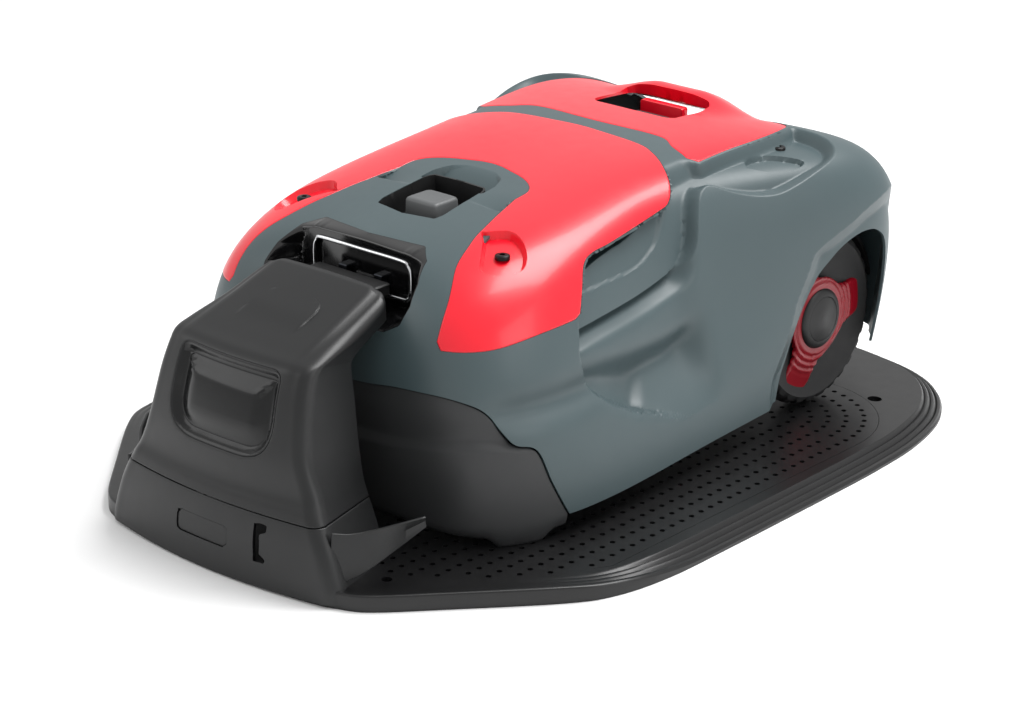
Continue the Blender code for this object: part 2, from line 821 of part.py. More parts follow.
def make_port_arch():
    """The bright arch on the port's back wall."""
    y = PORT_BACK_Y - GAP - 0.0012
    low, high, half, radius = 0.236, 0.276, 0.066, 0.012
    points = [(-half, y, low)]
    for start, x in ((180, -half + radius), (90, half - radius)):
        for step in range(4):
            angle = math.radians(start - 30 * step)
            points.append((x + radius * math.cos(angle), y, high - radius + radius * math.sin(angle)))
    points.append((half, y, low))
    arch = tube("port_arch", points, 0.0012)
    return finish(arch, "port_arch", material("arch_chrome", CHROME, 0.12, 1.0))


def make_front_bumper():
    bumper = hood_skin("front_bumper", 0.0, SHELL, -1)
    keep_inside(bumper, bumper_zone("bumper_shape", 0.0))
    return finish(bake(bumper), "front_bumper", material("bumper_grey", BUMPER_GREY, 0.45))


def around_axle(radius, angles):
    """Points (y, z) round the drive wheels' axle."""
    return [(WHEEL_Y + radius * math.cos(a), WHEEL_Z + radius * math.sin(a)) for a in angles]


def make_rear_liners():
    """The dark liners round the rear wheels, each ending in a tail behind its wheel."""
    steps = 8
    outer_r, inner_r = 0.1115, 0.1075
    for name, side in SIDES:
        angles = [math.radians(150 - 170 * step / steps) for step in range(steps + 1)]
        outline = around_axle(outer_r, angles)
        outline += [(WHEEL_Y + outer_r, 0.082), (WHEEL_Y + outer_r - 0.008, 0.078)]
        outline += around_axle(inner_r, reversed(angles))
        low, high = sorted((side * 0.166, side * 0.222))
        liner = slab(f"wheel_liner_{name}", outline, low, high, "YZ")
        finish(liner, f"wheel_liner_{name}", material(f"liner_black_{name}", DEEP_BLACK, 0.5))


# ---- chassis -------------------------------------------------------------------------------------
def make_chassis_tub():
    outline = (
        (-0.235, TUB_TOP),
        (-0.235, TUB_FLOOR),
        (0.110, TUB_FLOOR),
        (0.130, 0.066),
        (0.345, 0.066),
        (0.358, TUB_TOP),
    )
    wall = 0.003
    inner = (
        (-0.235 + wall, TUB_TOP + 0.01),
        (-0.235 + wall, TUB_FLOOR + wall),
        (0.1115, TUB_FLOOR + wall),
        (0.1315, 0.066 + wall),
        (0.345 - wall, 0.066 + wall),
        (0.3595 - wall, TUB_TOP + 0.01),
    )
    tub = slab("chassis_tub", outline, -TUB_HALF, TUB_HALF, "YZ")
    cut(tub, slab("tub_hollow", inner, -TUB_HALF + wall, TUB_HALF - wall, "YZ"))
    tub = bake(tub)
    join(tub, rod("guide_tube", (0, DISC_Y, TUB_FLOOR), (0, DISC_Y, 0.145), 0.047, 32))
    cut(tub, rod("guide_bore", (0, DISC_Y, 0.09), (0, DISC_Y, 0.17), 0.043, 32))
    cut(tub, box("lift_arm_slot", (-0.0135, DISC_Y - 0.060, 0.1135), (0.0135, DISC_Y - 0.030, 0.150)))
    for _, side in SIDES:
        x = side * TUB_HALF
        cut(tub, axle_rod("axle_hole", x - 0.01, x + 0.01, 0.012, 16))
    return finish(bake(tub), "chassis_tub", material("tub_grey", CHASSIS_GREY, 0.5))


def make_chassis_cover():
    low = TUB_TOP + GAP
    cover = box("chassis_cover", (-0.154, -0.238, low), (0.154, 0.360, low + 0.004), 0.001, 1)
    join(cover, box("electronics_dome", (-0.120, 0.030, low + 0.002), (0.120, 0.330, 0.200)))
    cut(cover, box("dome_hollow", (-0.117, 0.033, low - 0.01), (0.117, 0.327, 0.197)))
    join(cover, box("contact_upstand", (-0.040, -0.216, low + 0.002), (0.040, -0.212, 0.262)))
    cut(cover, rod("deck_opening", (0, DISC_Y, 0.15), (0, DISC_Y, 0.18), 0.050, 32))
    cut(cover, box("arm_opening", (-0.016, KNOB_Y - 0.018, 0.15), (0.016, DISC_Y, 0.18)))
    return finish(bake(cover), "chassis_cover", material("chassis_cover_grey", CHASSIS_GREY, 0.5))


def make_charge_strips():
    for name, side in SIDES:
        x = side * CONTACT_X
        low = (x - 0.006, -0.2385, CONTACT_Z - 0.007)
        high = (x + 0.006, -0.2163, CONTACT_Z + 0.007)
        strip = box(f"charge_strip_{name}", low, high, 0.001, 1)
        finish(strip, f"charge_strip_{name}", material(f"strip_{name}", STEEL, 0.2, 1.0))


def make_battery():
    pack = box("battery_pack", (-0.045, 0.150, 0.0695), (0.045, 0.325, 0.125), 0.004, 2)
    return finish(pack, "battery_pack", material("battery_blue", BATTERY_BLUE, 0.5))


def make_main_board():
    board = box("main_circuit_board", (-0.105, 0.045, 0.176), (0.105, 0.315, 0.1776))
    return finish(board, "main_circuit_board", material("main_board_green", BOARD_GREEN, 0.4))


def axle_rod(name, start, end, radius, segments, radius_end=None):
    """A cylinder on the drive wheels' axle, between two x values."""
    return rod(name, (start, WHEEL_Y, WHEEL_Z), (end, WHEEL_Y, WHEEL_Z), radius, segments, radius_end)


def make_drive_motors():
    for name, side in SIDES:
        motor = axle_rod("motor", side * 0.052, side * 0.100, 0.024, 20)
        join(motor, axle_rod("gearbox", side * 0.098, side * 0.1465, 0.034, 24))
        join(motor, axle_rod("shaft", side * 0.145, side * 0.178, 0.006, 16))
        finish(bake(motor), f"drive_motor_{name}", material(f"motor_{name}", STEEL, 0.35, 1.0))


def make_caster_arms():
    for name, side in SIDES:
        low_x, high_x = sorted((side * (TUB_HALF + GAP), side * 0.192))
        arm = box(f"caster_arm_{name}", (low_x, -0.222, 0.112), (high_x, -0.158, 0.142), 0.004, 2)
        x = side * CASTER_X
        cut(arm, rod("stem_bore", (x, CASTER_Y, 0.09), (x, CASTER_Y, 0.16), 0.0066, 24))
        finish(arm, f"caster_arm_{name}", material(f"arm_grey_{name}", CHASSIS_GREY, 0.5))


def make_float_posts():
    base = TUB_TOP + GAP + 0.004 + GAP
    for (x, y, seat), name in zip(screw_points(), CORNERS):
        x_base = math.copysign(0.140, x)
        post = rod("post", (x_base, y, base), (x_base, y, base + 0.020), 0.011, 16)
        join(post, rod("post_top", (x_base, y, base + 0.018), (x, y, seat - 0.0235), 0.008, 16, 0.0062))
        finish(bake(post), f"float_post_{name}", material(f"post_rubber_{name}", RUBBER, 0.7))


def make_height_knob():
    low = (-0.0205, KNOB_Y - 0.0165, 0.2850)
    high = (0.0205, KNOB_Y + 0.0165, KNOB_TOP)
    knob = box("height_knob", low, high, 0.005, 2)
    knob = bake(knob)
    join(knob, rod("knob_shaft", (0, KNOB_Y, 0.116), (0, KNOB_Y, 0.290), 0.0050, 16))
    pivot(bake(knob), (0, KNOB_Y, KNOB_TOP))
    return finish(knob, "height_knob", material("knob_grey", BUMPER_GREY, 0.4))


# ---- running gear --------------------------------------------------------------------------------
def tyre_profile():
    """(radius, height along the axle) of the tyre, outer side down, with a raised tread band."""
    half = TYRE_WIDTH / 2
    rim = WHEEL_R - 0.026
    return (
        (rim + 0.006, half - 0.001),
        (WHEEL_R - 0.010, half),
        (WHEEL_R - 0.003, half - 0.008),
        (WHEEL_R, half - 0.018),
        (WHEEL_R, -half + 0.018),
        (WHEEL_R - 0.003, -half + 0.008),
        (WHEEL_R - 0.010, -half),
        (rim + 0.006, -half + 0.001),
        (rim, -half + 0.006),
        (rim, half - 0.006),
    )


def make_drive_wheels():
    for name, side in SIDES:
        centre = (side * WHEEL_X, WHEEL_Y, WHEEL_Z)
        tyre = bake(turned("tyre", tyre_profile(), "X", 28))
        tyre.location = centre
        pivot(tyre, centre)
        finish(tyre, f"tyre_{name}", material(f"tyre_{name}", TYRE_BLACK, 0.7))

        rim_r = WHEEL_R - 0.026 - GAP
        inner, outer = side * (WHEEL_X - 0.016), side * (WHEEL_X + 0.010)
        rim = axle_rod("rim", inner, outer, rim_r, 28)
        for spoke in range(3):
            angle = math.radians(90 + 60 + 120 * spoke)
            y = WHEEL_Y + 0.058 * math.cos(angle)
            z = WHEEL_Z + 0.058 * math.sin(angle)
            cut(rim, rod("rim_window", (side * 0.15, y, z), (side * 0.25, y, z), 0.013, 12))
        join(rim, axle_rod("rim_hub", outer - side * 0.004, side * 0.2145, 0.042, 28))
        cut(rim, axle_rod("shaft_seat", side * 0.14, side * 0.190, 0.0065, 16))
        pivot(bake(rim), centre)
        finish(rim, f"wheel_rim_{name}", material(f"rim_red_{name}", DARK_RED, 0.2))

        cap = axle_rod("cap", side * (0.2145 + GAP), side * 0.2205, 0.037, 28, 0.034)
        pivot(cap, centre)
        finish(cap, f"wheel_cap_{name}", material(f"cap_black_{name}", TYRE_BLACK, 0.3))


def make_casters():
    for name, side in SIDES:
        x = side * CASTER_X
        wheel_y = CASTER_Y + CASTER_TRAIL
        fork = box("fork", (x - 0.021, CASTER_Y - 0.012, 0.1035), (x + 0.021, wheel_y + 0.012, 0.1085))
        for ear in (-1, 1):
            low_x, high_x = sorted((x + ear * 0.0175, x + ear * 0.021))
            ear_low = (low_x, wheel_y - 0.011, CASTER_Z - 0.012)
            join(fork, box("ear", ear_low, (high_x, wheel_y + 0.011, 0.106)))
        join(fork, rod("stem", (x, CASTER_Y, 0.106), (x, CASTER_Y, 0.152), 0.0060, 24))
        join(fork, rod("pin", (x - 0.019, wheel_y, CASTER_Z), (x + 0.019, wheel_y, CASTER_Z), 0.0035, 16))
        pivot(bake(fork), (x, CASTER_Y, 0.106))
        finish(fork, f"caster_fork_{name}", material(f"fork_grey_{name}", BUMPER_GREY, 0.45))

        profile = (
            (0.0060, 0.0135),
            (CASTER_R - 0.008, 0.0150),
            (CASTER_R, 0.0080),
            (CASTER_R, -0.0080),
            (CASTER_R - 0.008, -0.0150),
            (0.0060, -0.0135),
            (0.0037, -0.0120),
            (0.0037, 0.0120),
        )
        wheel = bake(turned("caster_wheel", profile, "X", 20))
        wheel.location = (x, wheel_y, CASTER_Z)
        pivot(wheel, (x, wheel_y, CASTER_Z))
        finish(wheel, f"caster_wheel_{name}", material(f"caster_black_{name}", TYRE_BLACK, 0.6))


# ---- cutting gear --------------------------------------------------------------------------------
def make_cutting_deck():
    top = 0.160
    carrier = rod("deck_carrier", (0, DISC_Y, 0.0940), (0, DISC_Y, top), 0.0420, 32)
    cut(carrier, rod("motor_bay", (0, DISC_Y, 0.0970), (0, DISC_Y, top + 0.01), 0.0340, 28))
    carrier = bake(carrier)
    join(carrier, box("lift_arm", (-0.012, KNOB_Y - 0.012, 0.1545), (0.012, DISC_Y - 0.0345, top)))
    cut(carrier, rod("nut_bore", (0, KNOB_Y, 0.14), (0, KNOB_Y, 0.17), 0.0056, 16))
    cut(carrier, rod("spindle_bore", (0, DISC_Y, 0.09), (0, DISC_Y, 0.10), 0.0075, 16))
    finish(bake(carrier), "deck_carrier", material("carrier_grey", CHASSIS_GREY, 0.5))

    motor = rod("cutting_motor", (0, DISC_Y, 0.0973), (0, DISC_Y, 0.1500), 0.0300, 24)
    finish(motor, "cutting_motor", material("cutting_motor_steel", STEEL, 0.35, 1.0))


def make_blade_disc():
    disc = rod("blade_disc", (0, DISC_Y, DISC_Z - 0.001), (0, DISC_Y, DISC_Z + 0.001), DISC_R, 28)
    join(disc, rod("disc_hub", (0, DISC_Y, DISC_Z - 0.0115), (0, DISC_Y, 0.0915), 0.0200, 24))
    join(disc, rod("disc_spindle", (0, DISC_Y, 0.0900), (0, DISC_Y, 0.0969), 0.0060, 16))
    for blade in range(3):
        angle = math.radians(90 + 120 * blade)
        x, y = BLADE_PIVOT_R * math.cos(angle), DISC_Y + BLADE_PIVOT_R * math.sin(angle)
        join(disc, rod("blade_screw", (x, y, DISC_Z - 0.0055), (x, y, DISC_Z), 0.0030, 12))
    pivot(bake(disc), (0, DISC_Y, DISC_Z))
    finish(disc, "blade_disc", material("disc_steel", STEEL, 0.35, 1.0))

    skid = rod("skid_plate", (0, DISC_Y, DISC_Z - 0.0145), (0, DISC_Y, DISC_Z - 0.0118), 0.072, 32)
    finish(skid, "skid_plate", material("skid_black", CHASSIS_GREY, 0.5))

    for blade in range(3):
        angle = math.radians(90 + 120 * blade)
        tip, back, half = BLADE_LENGTH - 0.006, -0.006, 0.009
        outline = rounded_rectangle((back, -half), (tip, half), 0.003, 2)
        piece = slab("blade", outline, -0.0004, 0.0004)
        cut(piece, rod("blade_hole", (0, 0, -0.01), (0, 0, 0.01), 0.0034, 12))
        bake(piece)
        x, y = BLADE_PIVOT_R * math.cos(angle), DISC_Y + BLADE_PIVOT_R * math.sin(angle)
        piece.data.transform(Matrix.Translation((x, y, DISC_Z - 0.0035)) @ Matrix.Rotation(angle, 4, "Z"))
        pivot(piece, (x, y, DISC_Z - 0.0035))
        finish(piece, f"blade_{blade + 1}", material(f"blade_steel_{blade + 1}", STEEL, 0.2, 1.0))


clear_scene()
PARTS = new_collection("robotic_lawn_mower")
CUTTERS = new_collection("cutters")
CUTTERS.hide_render = True

make_base_plate()
make_station_foot()
make_tower_housing()
make_rear_tower_cover()
make_status_window()
make_status_light()
make_cable_cover()
make_contact_block()
make_station_contacts()
make_station_board()

make_hood_shell()
make_screw_caps()
make_front_cover()
make_rear_cover()
make_handle_tray()
make_buttons()
make_nose_well()
make_charge_port()
make_port_arch()
make_front_bumper()
make_rear_liners()

make_chassis_tub()
make_chassis_cover()
make_charge_strips()
make_battery()
make_main_board()
make_drive_motors()
make_caster_arms()
make_float_posts()
make_height_knob()

make_drive_wheels()
make_casters()
make_cutting_deck()
make_blade_disc()
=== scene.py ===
"""The visible surfaces of a robotic lawn mower on its charging station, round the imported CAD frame."""

import math

import bmesh
import bpy
import numpy as np
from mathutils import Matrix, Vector
from mathutils.geometry import delaunay_2d_cdt


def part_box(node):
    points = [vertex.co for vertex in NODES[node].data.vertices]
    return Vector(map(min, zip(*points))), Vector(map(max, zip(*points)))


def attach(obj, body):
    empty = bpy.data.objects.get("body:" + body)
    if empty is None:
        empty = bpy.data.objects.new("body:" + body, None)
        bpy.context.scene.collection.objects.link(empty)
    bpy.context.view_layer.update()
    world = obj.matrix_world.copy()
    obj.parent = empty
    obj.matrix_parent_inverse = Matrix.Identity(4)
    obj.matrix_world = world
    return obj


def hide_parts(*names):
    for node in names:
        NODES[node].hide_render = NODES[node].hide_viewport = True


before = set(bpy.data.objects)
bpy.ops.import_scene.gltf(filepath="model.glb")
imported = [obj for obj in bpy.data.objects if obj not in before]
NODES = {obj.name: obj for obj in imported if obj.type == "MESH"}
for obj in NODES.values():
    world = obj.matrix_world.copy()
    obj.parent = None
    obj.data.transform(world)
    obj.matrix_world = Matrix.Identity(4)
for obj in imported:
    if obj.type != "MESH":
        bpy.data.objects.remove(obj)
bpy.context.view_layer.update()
SIDES = (("left", -1), ("right", 1))
MIRROR = np.array([-1.0, 1.0, 1.0])
SNAP = 2e-5  # nearer than this, a value counts as on the level or on the mirror plane
FAR = 1e9

CAMERA_TURN, CAMERA_HEIGHT = 41.703, 21.0965  # degrees round the object and over the floor
CAMERA_REACH = 3.25
CAMERA_AIM = (0.0, -0.0065, 0.0996)
CAMERA_LENS, CAMERA_SENSOR = 105.195, 36.0  # millimetres


# ---- camera --------------------------------------------------------------------------------------
def make_camera():
    turn, height = math.radians(CAMERA_TURN), math.radians(CAMERA_HEIGHT)
    back = Vector((
        math.sin(turn) * math.cos(height),
        -math.cos(turn) * math.cos(height),
        math.sin(height),
    ))
    data = bpy.data.cameras.new("camera")
    data.sensor_width = CAMERA_SENSOR
    data.lens = CAMERA_LENS
    camera = bpy.data.objects.new("camera", data)
    camera.location = Vector(CAMERA_AIM) + back * CAMERA_REACH
    camera.rotation_euler = (-back).to_track_quat("-Z", "Y").to_euler()
    bpy.context.scene.collection.objects.link(camera)
    bpy.context.scene.camera = camera


# ---- skins: triangle meshes with normals and named fields ----------------------------------------
class Skin:
    """Points, unit normals, triangles and a value per point for each named field."""

    def __init__(self, points, normals, faces, fields):
        self.p = points
        self.n = normals
        self.f = faces
        self.fields = fields

    def copy(self):
        fields = {k: v.copy() for k, v in self.fields.items()}
        return Skin(self.p.copy(), self.n.copy(), self.f.copy(), fields)

    def split(self, name, *levels):
        """Adds points and edges where the field crosses each level."""
        for level in levels:
            self._split(name, level)
        return self

    def _split(self, name, level):
        d = self.fields[name] - level
        d[np.abs(d) < SNAP] = 0.0
        tri = d[self.f]
        hit = (tri.min(1) < 0) & (tri.max(1) > 0)
        if not hit.any():
            return
        keep = self.f[~hit]
        new_faces = []
        made = {}
        pairs = []
        shares = []
        count = len(self.p)

        def between(i, j):
            key = (i, j) if i < j else (j, i)
            if key not in made:
                share = d[key[0]] / (d[key[0]] - d[key[1]])
                made[key] = count + len(pairs)
                pairs.append(key)
                shares.append(share)
            return made[key]

        for face in self.f[hit]:
            loop = []
            for k in range(3):
                i, j = int(face[k]), int(face[(k + 1) % 3])
                loop.append((i, d[i]))
                if d[i] * d[j] < 0:
                    loop.append((between(i, j), 0.0))
            for positive in (True, False):
                ring = [i for i, value in loop if (value >= 0 if positive else value <= 0)]
                for k in range(1, len(ring) - 1):
                    new_faces.append((ring[0], ring[k], ring[k + 1]))
        pairs = np.array(pairs)
        shares = np.array(shares)[:, None]

        def mix(values):
            one = values.ndim == 1
            v = values[:, None] if one else values
            made_values = v[pairs[:, 0]] * (1 - shares) + v[pairs[:, 1]] * shares
            joined = np.vstack([v, made_values])
            return joined[:, 0] if one else joined

        self.p = mix(self.p)
        self.n = mix(self.n)
        self.n /= np.linalg.norm(self.n, axis=1)[:, None]
        self.fields = {k: mix(v) for k, v in self.fields.items()}
        self.fields[name][count:] = level
        self.f = np.vstack([keep, np.array(new_faces, int)])

    def keep(self, name, level=0.0):
        """Drops what lies where the field is under level. Split there first."""
        middle = self.fields[name][self.f].mean(1)
        self.f = self.f[middle > level]
        return self.pack()

    def pack(self):
        """Drops the points that no triangle uses."""
        used = np.unique(self.f)
        index = np.full(len(self.p), -1)
        index[used] = np.arange(len(used))
        self.p, self.n = self.p[used], self.n[used]
        self.fields = {k: v[used] for k, v in self.fields.items()}
        self.f = index[self.f]
        return self

    def cut(self, name, *levels):
        """Keeps the part where the field is over the first level, with extra edges at the others."""
        self.split(name, *levels)
        return self.keep(name, levels[0])

    def cut_away(self, name, *levels):
        """Drops what lies inside the field, whose sign turns."""
        self.fields[name] = -self.fields[name]
        return self.cut(name, *levels)

    def push(self, amount):
        """Moves the points along their normals."""
        self.p = self.p + self.n * np.asarray(amount).reshape(-1, 1)
        return self

    def renormal(self):
        """Takes the normals from the triangles again. On the mirror plane they stay in it."""
        a, b, c = (self.p[self.f[:, k]] for k in range(3))
        face = np.cross(b - a, c - a)
        total = np.zeros_like(self.p)
        for k in range(3):
            np.add.at(total, self.f[:, k], face)
        length = np.linalg.norm(total, axis=1)
        good = length > 1e-12
        self.n[good] = total[good] / length[good, None]
        seam = np.abs(self.p[:, 0]) < 1e-6
        self.n[seam, 0] = 0.0
        self.n /= np.maximum(np.linalg.norm(self.n, axis=1), 1e-9)[:, None]
        return self

    def edges(self):
        return np.vstack([self.f[:, [0, 1]], self.f[:, [1, 2]], self.f[:, [2, 0]]])

    def evened(self, values, rounds):
        """The values after each point has moved towards its neighbours' mean, this many times."""
        edges = self.edges()
        count = np.maximum(np.bincount(edges.ravel(), minlength=len(self.p)), 1)
        for _ in range(rounds):
            total = np.bincount(edges[:, 0], values[edges[:, 1]], len(self.p))
            total += np.bincount(edges[:, 1], values[edges[:, 0]], len(self.p))
            values = 0.5 * values + 0.5 * total / count
        return values

    def whole(self):
        """Adds the mirror image across x = 0."""
        count = len(self.p)
        seam = np.abs(self.p[:, 0]) < SNAP
        self.p[seam, 0] = 0.0
        index = np.arange(count) + count
        index[seam] = np.arange(count)[seam]
        self.p = np.vstack([self.p, self.p * MIRROR])
        self.n = np.vstack([self.n, self.n * MIRROR])
        self.fields = {k: np.concatenate([v, v]) for k, v in self.fields.items()}
        self.f = np.vstack([self.f, index[self.f][:, ::-1]])
        return self.pack().renormal()

    def border(self):
        """Directed edges that only one triangle has."""
        edges = self.edges()
        seen = {(int(a), int(b)) for a, b in edges}
        return [(a, b) for a, b in seen if (b, a) not in seen]

    def body(self, thickness):
        """Points and triangles of the closed shell that grows inwards by thickness."""
        count = len(self.p)
        depth = np.broadcast_to(thickness, (count,)).reshape(-1, 1)
        points = np.vstack([self.p, self.p - self.n * depth])
        walls = []
        for a, b in self.border():
            walls.append((b, a, a + count))
            walls.append((b, a + count, b + count))
        faces = np.vstack([self.f, self.f[:, ::-1] + count, np.array(walls, int).reshape(-1, 3)])
        return points, faces


def grid_skin(points, fields):
    """A skin from an array of points (rows, columns, 3)."""
    rows, columns, _ = points.shape
    across = np.gradient(points, axis=0)
    along = np.gradient(points, axis=1)
    normals = np.cross(across, along)
    lengths = np.linalg.norm(normals, axis=2)
    lengths[lengths < 1e-12] = 1.0
    normals /= lengths[..., None]
    index = np.arange(rows * columns).reshape(rows, columns)
    a, b = index[:-1, :-1].ravel(), index[1:, :-1].ravel()
    c, d = index[1:, 1:].ravel(), index[:-1, 1:].ravel()
    faces = np.vstack([np.stack([a, b, c], 1), np.stack([a, c, d], 1)])
    values = {k: v.reshape(-1) for k, v in fields.items()}
    return Skin(points.reshape(-1, 3).copy(), normals.reshape(-1, 3).copy(), faces, values)


def spline_rows(control, per_span, before, after):
    """Uniform cubic B-spline through rows of control values, with the given rows at each end."""
    rows = np.concatenate([before[None], control, after[None]])
    spans = len(control) - 1
    out = []
    for span in range(spans):
        steps = per_span + (1 if span == spans - 1 else 0)
        t = (np.arange(steps) / per_span).reshape([-1] + [1] * (control.ndim - 1))
        p0, p1, p2, p3 = (rows[span + k][None] for k in range(4))
        out.append(
            ((1 - t) ** 3 * p0 + (3 * t ** 3 - 6 * t ** 2 + 4) * p1
             + (-3 * t ** 3 + 3 * t ** 2 + 3 * t + 1) * p2 + t ** 3 * p3) / 6
        )
    return np.concatenate(out)


def curve_distance(u, v, points):
    """Signed distance in a plane to an open polyline, positive on its left."""
    pts = np.asarray(points, float)
    best = np.full(u.shape, FAR)
    sign = np.ones(u.shape)
    q = np.stack([u, v], -1)
    last = len(pts) - 2
    for k, (a, b) in enumerate(zip(pts[:-1], pts[1:])):
        ab = b - a
        t = ((q - a) @ ab) / (ab @ ab)
        low = -FAR if k == 0 else 0.0
        high = FAR if k == last else 1.0
        t = np.clip(t, low, high)
        gap = q - (a + t[..., None] * ab)
        dist = np.hypot(gap[..., 0], gap[..., 1])
        side = ab[0] * gap[..., 1] - ab[1] * gap[..., 0]
        nearer = dist < best - 1e-12
        best = np.where(nearer, dist, best)
        sign = np.where(nearer, np.where(side >= 0, 1.0, -1.0), sign)
    return best * sign


def smooth_line(points, steps=8):
    """A Catmull-Rom curve through the points, as a denser polyline."""
    pts = np.asarray(points, float)
    ends = np.vstack([2 * pts[0] - pts[1], pts, 2 * pts[-1] - pts[-2]])
    out = []
    for k in range(len(pts) - 1):
        p0, p1, p2, p3 = ends[k:k + 4]
        for s in range(steps):
            t = s / steps
            out.append(0.5 * (
                2 * p1 + (p2 - p0) * t + (2 * p0 - 5 * p1 + 4 * p2 - p3) * t * t
                + (3 * p1 - p0 - 3 * p2 + p3) * t ** 3
            ))
    out.append(pts[-1])
    return np.array(out)


def loop_distance(u, v, points):
    """Signed distance in a plane to a closed outline, positive inside."""
    pts = np.asarray(points, float)
    best = np.full(u.shape, FAR)
    inside = np.zeros(u.shape, bool)
    q = np.stack([u, v], -1)
    for a, b in zip(pts, np.roll(pts, -1, 0)):
        ab = b - a
        size = ab @ ab
        if size < 1e-14:
            continue
        t = np.clip(((q - a) @ ab) / size, 0, 1)
        gap = q - (a + t[..., None] * ab)
        best = np.minimum(best, np.hypot(gap[..., 0], gap[..., 1]))
        crosses = (a[1] > v) != (b[1] > v)
        if b[1] != a[1]:
            inside ^= crosses & (u < (b[0] - a[0]) * (v - a[1]) / (b[1] - a[1]) + a[0])
    return np.where(inside, best, -best)


def on_surface(values, points, least=0.25, most=1.5):
    """Turns a flat signed distance on a grid of points into distance along the surface."""
    du, dv = np.gradient(values)
    pu, pv = np.gradient(points, axis=0), np.gradient(points, axis=1)
    e, g, f = (pu * pu).sum(-1), (pv * pv).sum(-1), (pu * pv).sum(-1)
    det = np.maximum(e * g - f * f, 1e-18)
    size = (g * du * du - 2 * f * du * dv + e * dv * dv) / det
    return values / np.clip(np.sqrt(np.maximum(size, 0)), least, most)


def smooth_min(a, b, radius):
    """The lesser of two fields, rounded over radius where they cross."""
    h = np.clip(0.5 + 0.5 * (b - a) / radius, 0, 1)
    return b * (1 - h) + a * h - radius * h * (1 - h)


def smooth_max(a, b, radius):
    return -smooth_min(-a, -b, radius)


def ramp(values, low, high):
    """A smooth step from 0 at low to 1 at high."""
    t = np.clip((values - low) / (high - low), 0, 1)
    return t * t * (3 - 2 * t)


def fillet(s, radius):
    """How far a surface drops near an edge that is s away, for a rounded edge."""
    x = np.clip(radius - s, 0, radius)
    return radius - np.sqrt(np.maximum(radius * radius - x * x, 0))


# ---- materials -----------------------------------------------------------------------------------
def linear(rgb):
    """A colour of 0 to 255 steps as linear light."""
    return tuple((c / 255 / 12.92) if c <= 10 else ((c / 255 + 0.055) / 1.055) ** 2.4 for c in rgb)


MIX_SHARE, MIX_A, MIX_B, MIX_COLOUR = 0, 6, 7, 2  # sockets of a Mix node set to colours
TONE_SCALE, GLOSS_SCALE = 14.0, 60.0  # noise per metre
GLOSS_CHANGE = 0.05


def plastic(name, rgb, rough=0.45, mottle=0.06, grain=900.0, bump=0.00004, coat=0.0, metal=0.0,
            specular=0.5, stipple=False):
    """Moulded plastic or metal: a soft tone change, fine surface grain and slight unevenness of gloss."""
    material = bpy.data.materials.new(name)
    material.use_nodes = True
    nodes, links = material.node_tree.nodes, material.node_tree.links
    shader = nodes["Principled BSDF"]
    shader.inputs["Metallic"].default_value = metal
    shader.inputs["Specular IOR Level"].default_value = specular
    shader.inputs["Coat Weight"].default_value = coat
    shader.inputs["Coat Roughness"].default_value = 0.12
    place = nodes.new("ShaderNodeTexCoord").outputs["Object"]

    def noise(scale, detail):
        node = nodes.new("ShaderNodeTexNoise")
        node.inputs["Scale"].default_value = scale
        node.inputs["Detail"].default_value = detail
        links.new(place, node.inputs["Vector"])
        return node.outputs["Fac"]

    tone = nodes.new("ShaderNodeMix")
    tone.data_type = "RGBA"
    colour = linear(rgb)
    tone.inputs[MIX_A].default_value = (*[c * (1 - mottle) for c in colour], 1)
    tone.inputs[MIX_B].default_value = (*[min(1.0, c * (1 + mottle)) for c in colour], 1)
    links.new(noise(TONE_SCALE, 4.0), tone.inputs[MIX_SHARE])
    links.new(tone.outputs[MIX_COLOUR], shader.inputs["Base Color"])
    gloss = nodes.new("ShaderNodeMapRange")
    gloss.inputs["To Min"].default_value = max(0.02, rough - GLOSS_CHANGE)
    gloss.inputs["To Max"].default_value = min(1.0, rough + GLOSS_CHANGE)
    links.new(noise(GLOSS_SCALE, 3.0), gloss.inputs["Value"])
    links.new(gloss.outputs["Result"], shader.inputs["Roughness"])
    if stipple:
        cells = nodes.new("ShaderNodeTexVoronoi")
        cells.inputs["Scale"].default_value = grain
        links.new(place, cells.inputs["Vector"])
        height = cells.outputs["Distance"]
    else:
        height = noise(grain, 2.0)
    relief = nodes.new("ShaderNodeBump")
    relief.inputs["Strength"].default_value = 0.55
    relief.inputs["Distance"].default_value = bump
    links.new(height, relief.inputs["Height"])
    links.new(relief.outputs["Normal"], shader.inputs["Normal"])
    return material


SLATE = plastic("slate_plastic", (64, 78, 81), rough=0.42, mottle=0.05, bump=0.00003)
RED = plastic("red_plastic", (228, 6, 34), rough=0.32, mottle=0.03, grain=500.0, bump=0.00001, coat=0.25)
BUMPER_GREY = plastic("bumper_plastic", (46, 47, 48), rough=0.5, mottle=0.05, bump=0.00004, stipple=True)
STATION_BLACK = plastic("station_plastic", (13, 14, 15), rough=0.40, mottle=0.06, bump=0.00005, stipple=True)
PLATE_BLACK = plastic("plate_plastic", (13, 13, 14), rough=0.36, mottle=0.06, bump=0.00005, stipple=True)
DEEP_BLACK = plastic("deep_black_plastic", (10, 10, 11), rough=0.5, mottle=0.08, bump=0.00004)
SMOKED = plastic("smoked_window", (7, 8, 9), rough=0.22, mottle=0.05, grain=200.0, bump=0.000004,
                 coat=0.1, specular=0.35)
CHROME = plastic("bright_chrome", (215, 216, 218), rough=0.14, mottle=0.02, grain=400.0, bump=0.000006,
                 metal=1.0)
STEEL = plastic("steel", (150, 152, 154), rough=0.3, mottle=0.05, grain=700.0, metal=1.0)
DARK_STEEL = plastic("contact_steel", (58, 60, 64), rough=0.34, mottle=0.05, grain=500.0, metal=1.0)
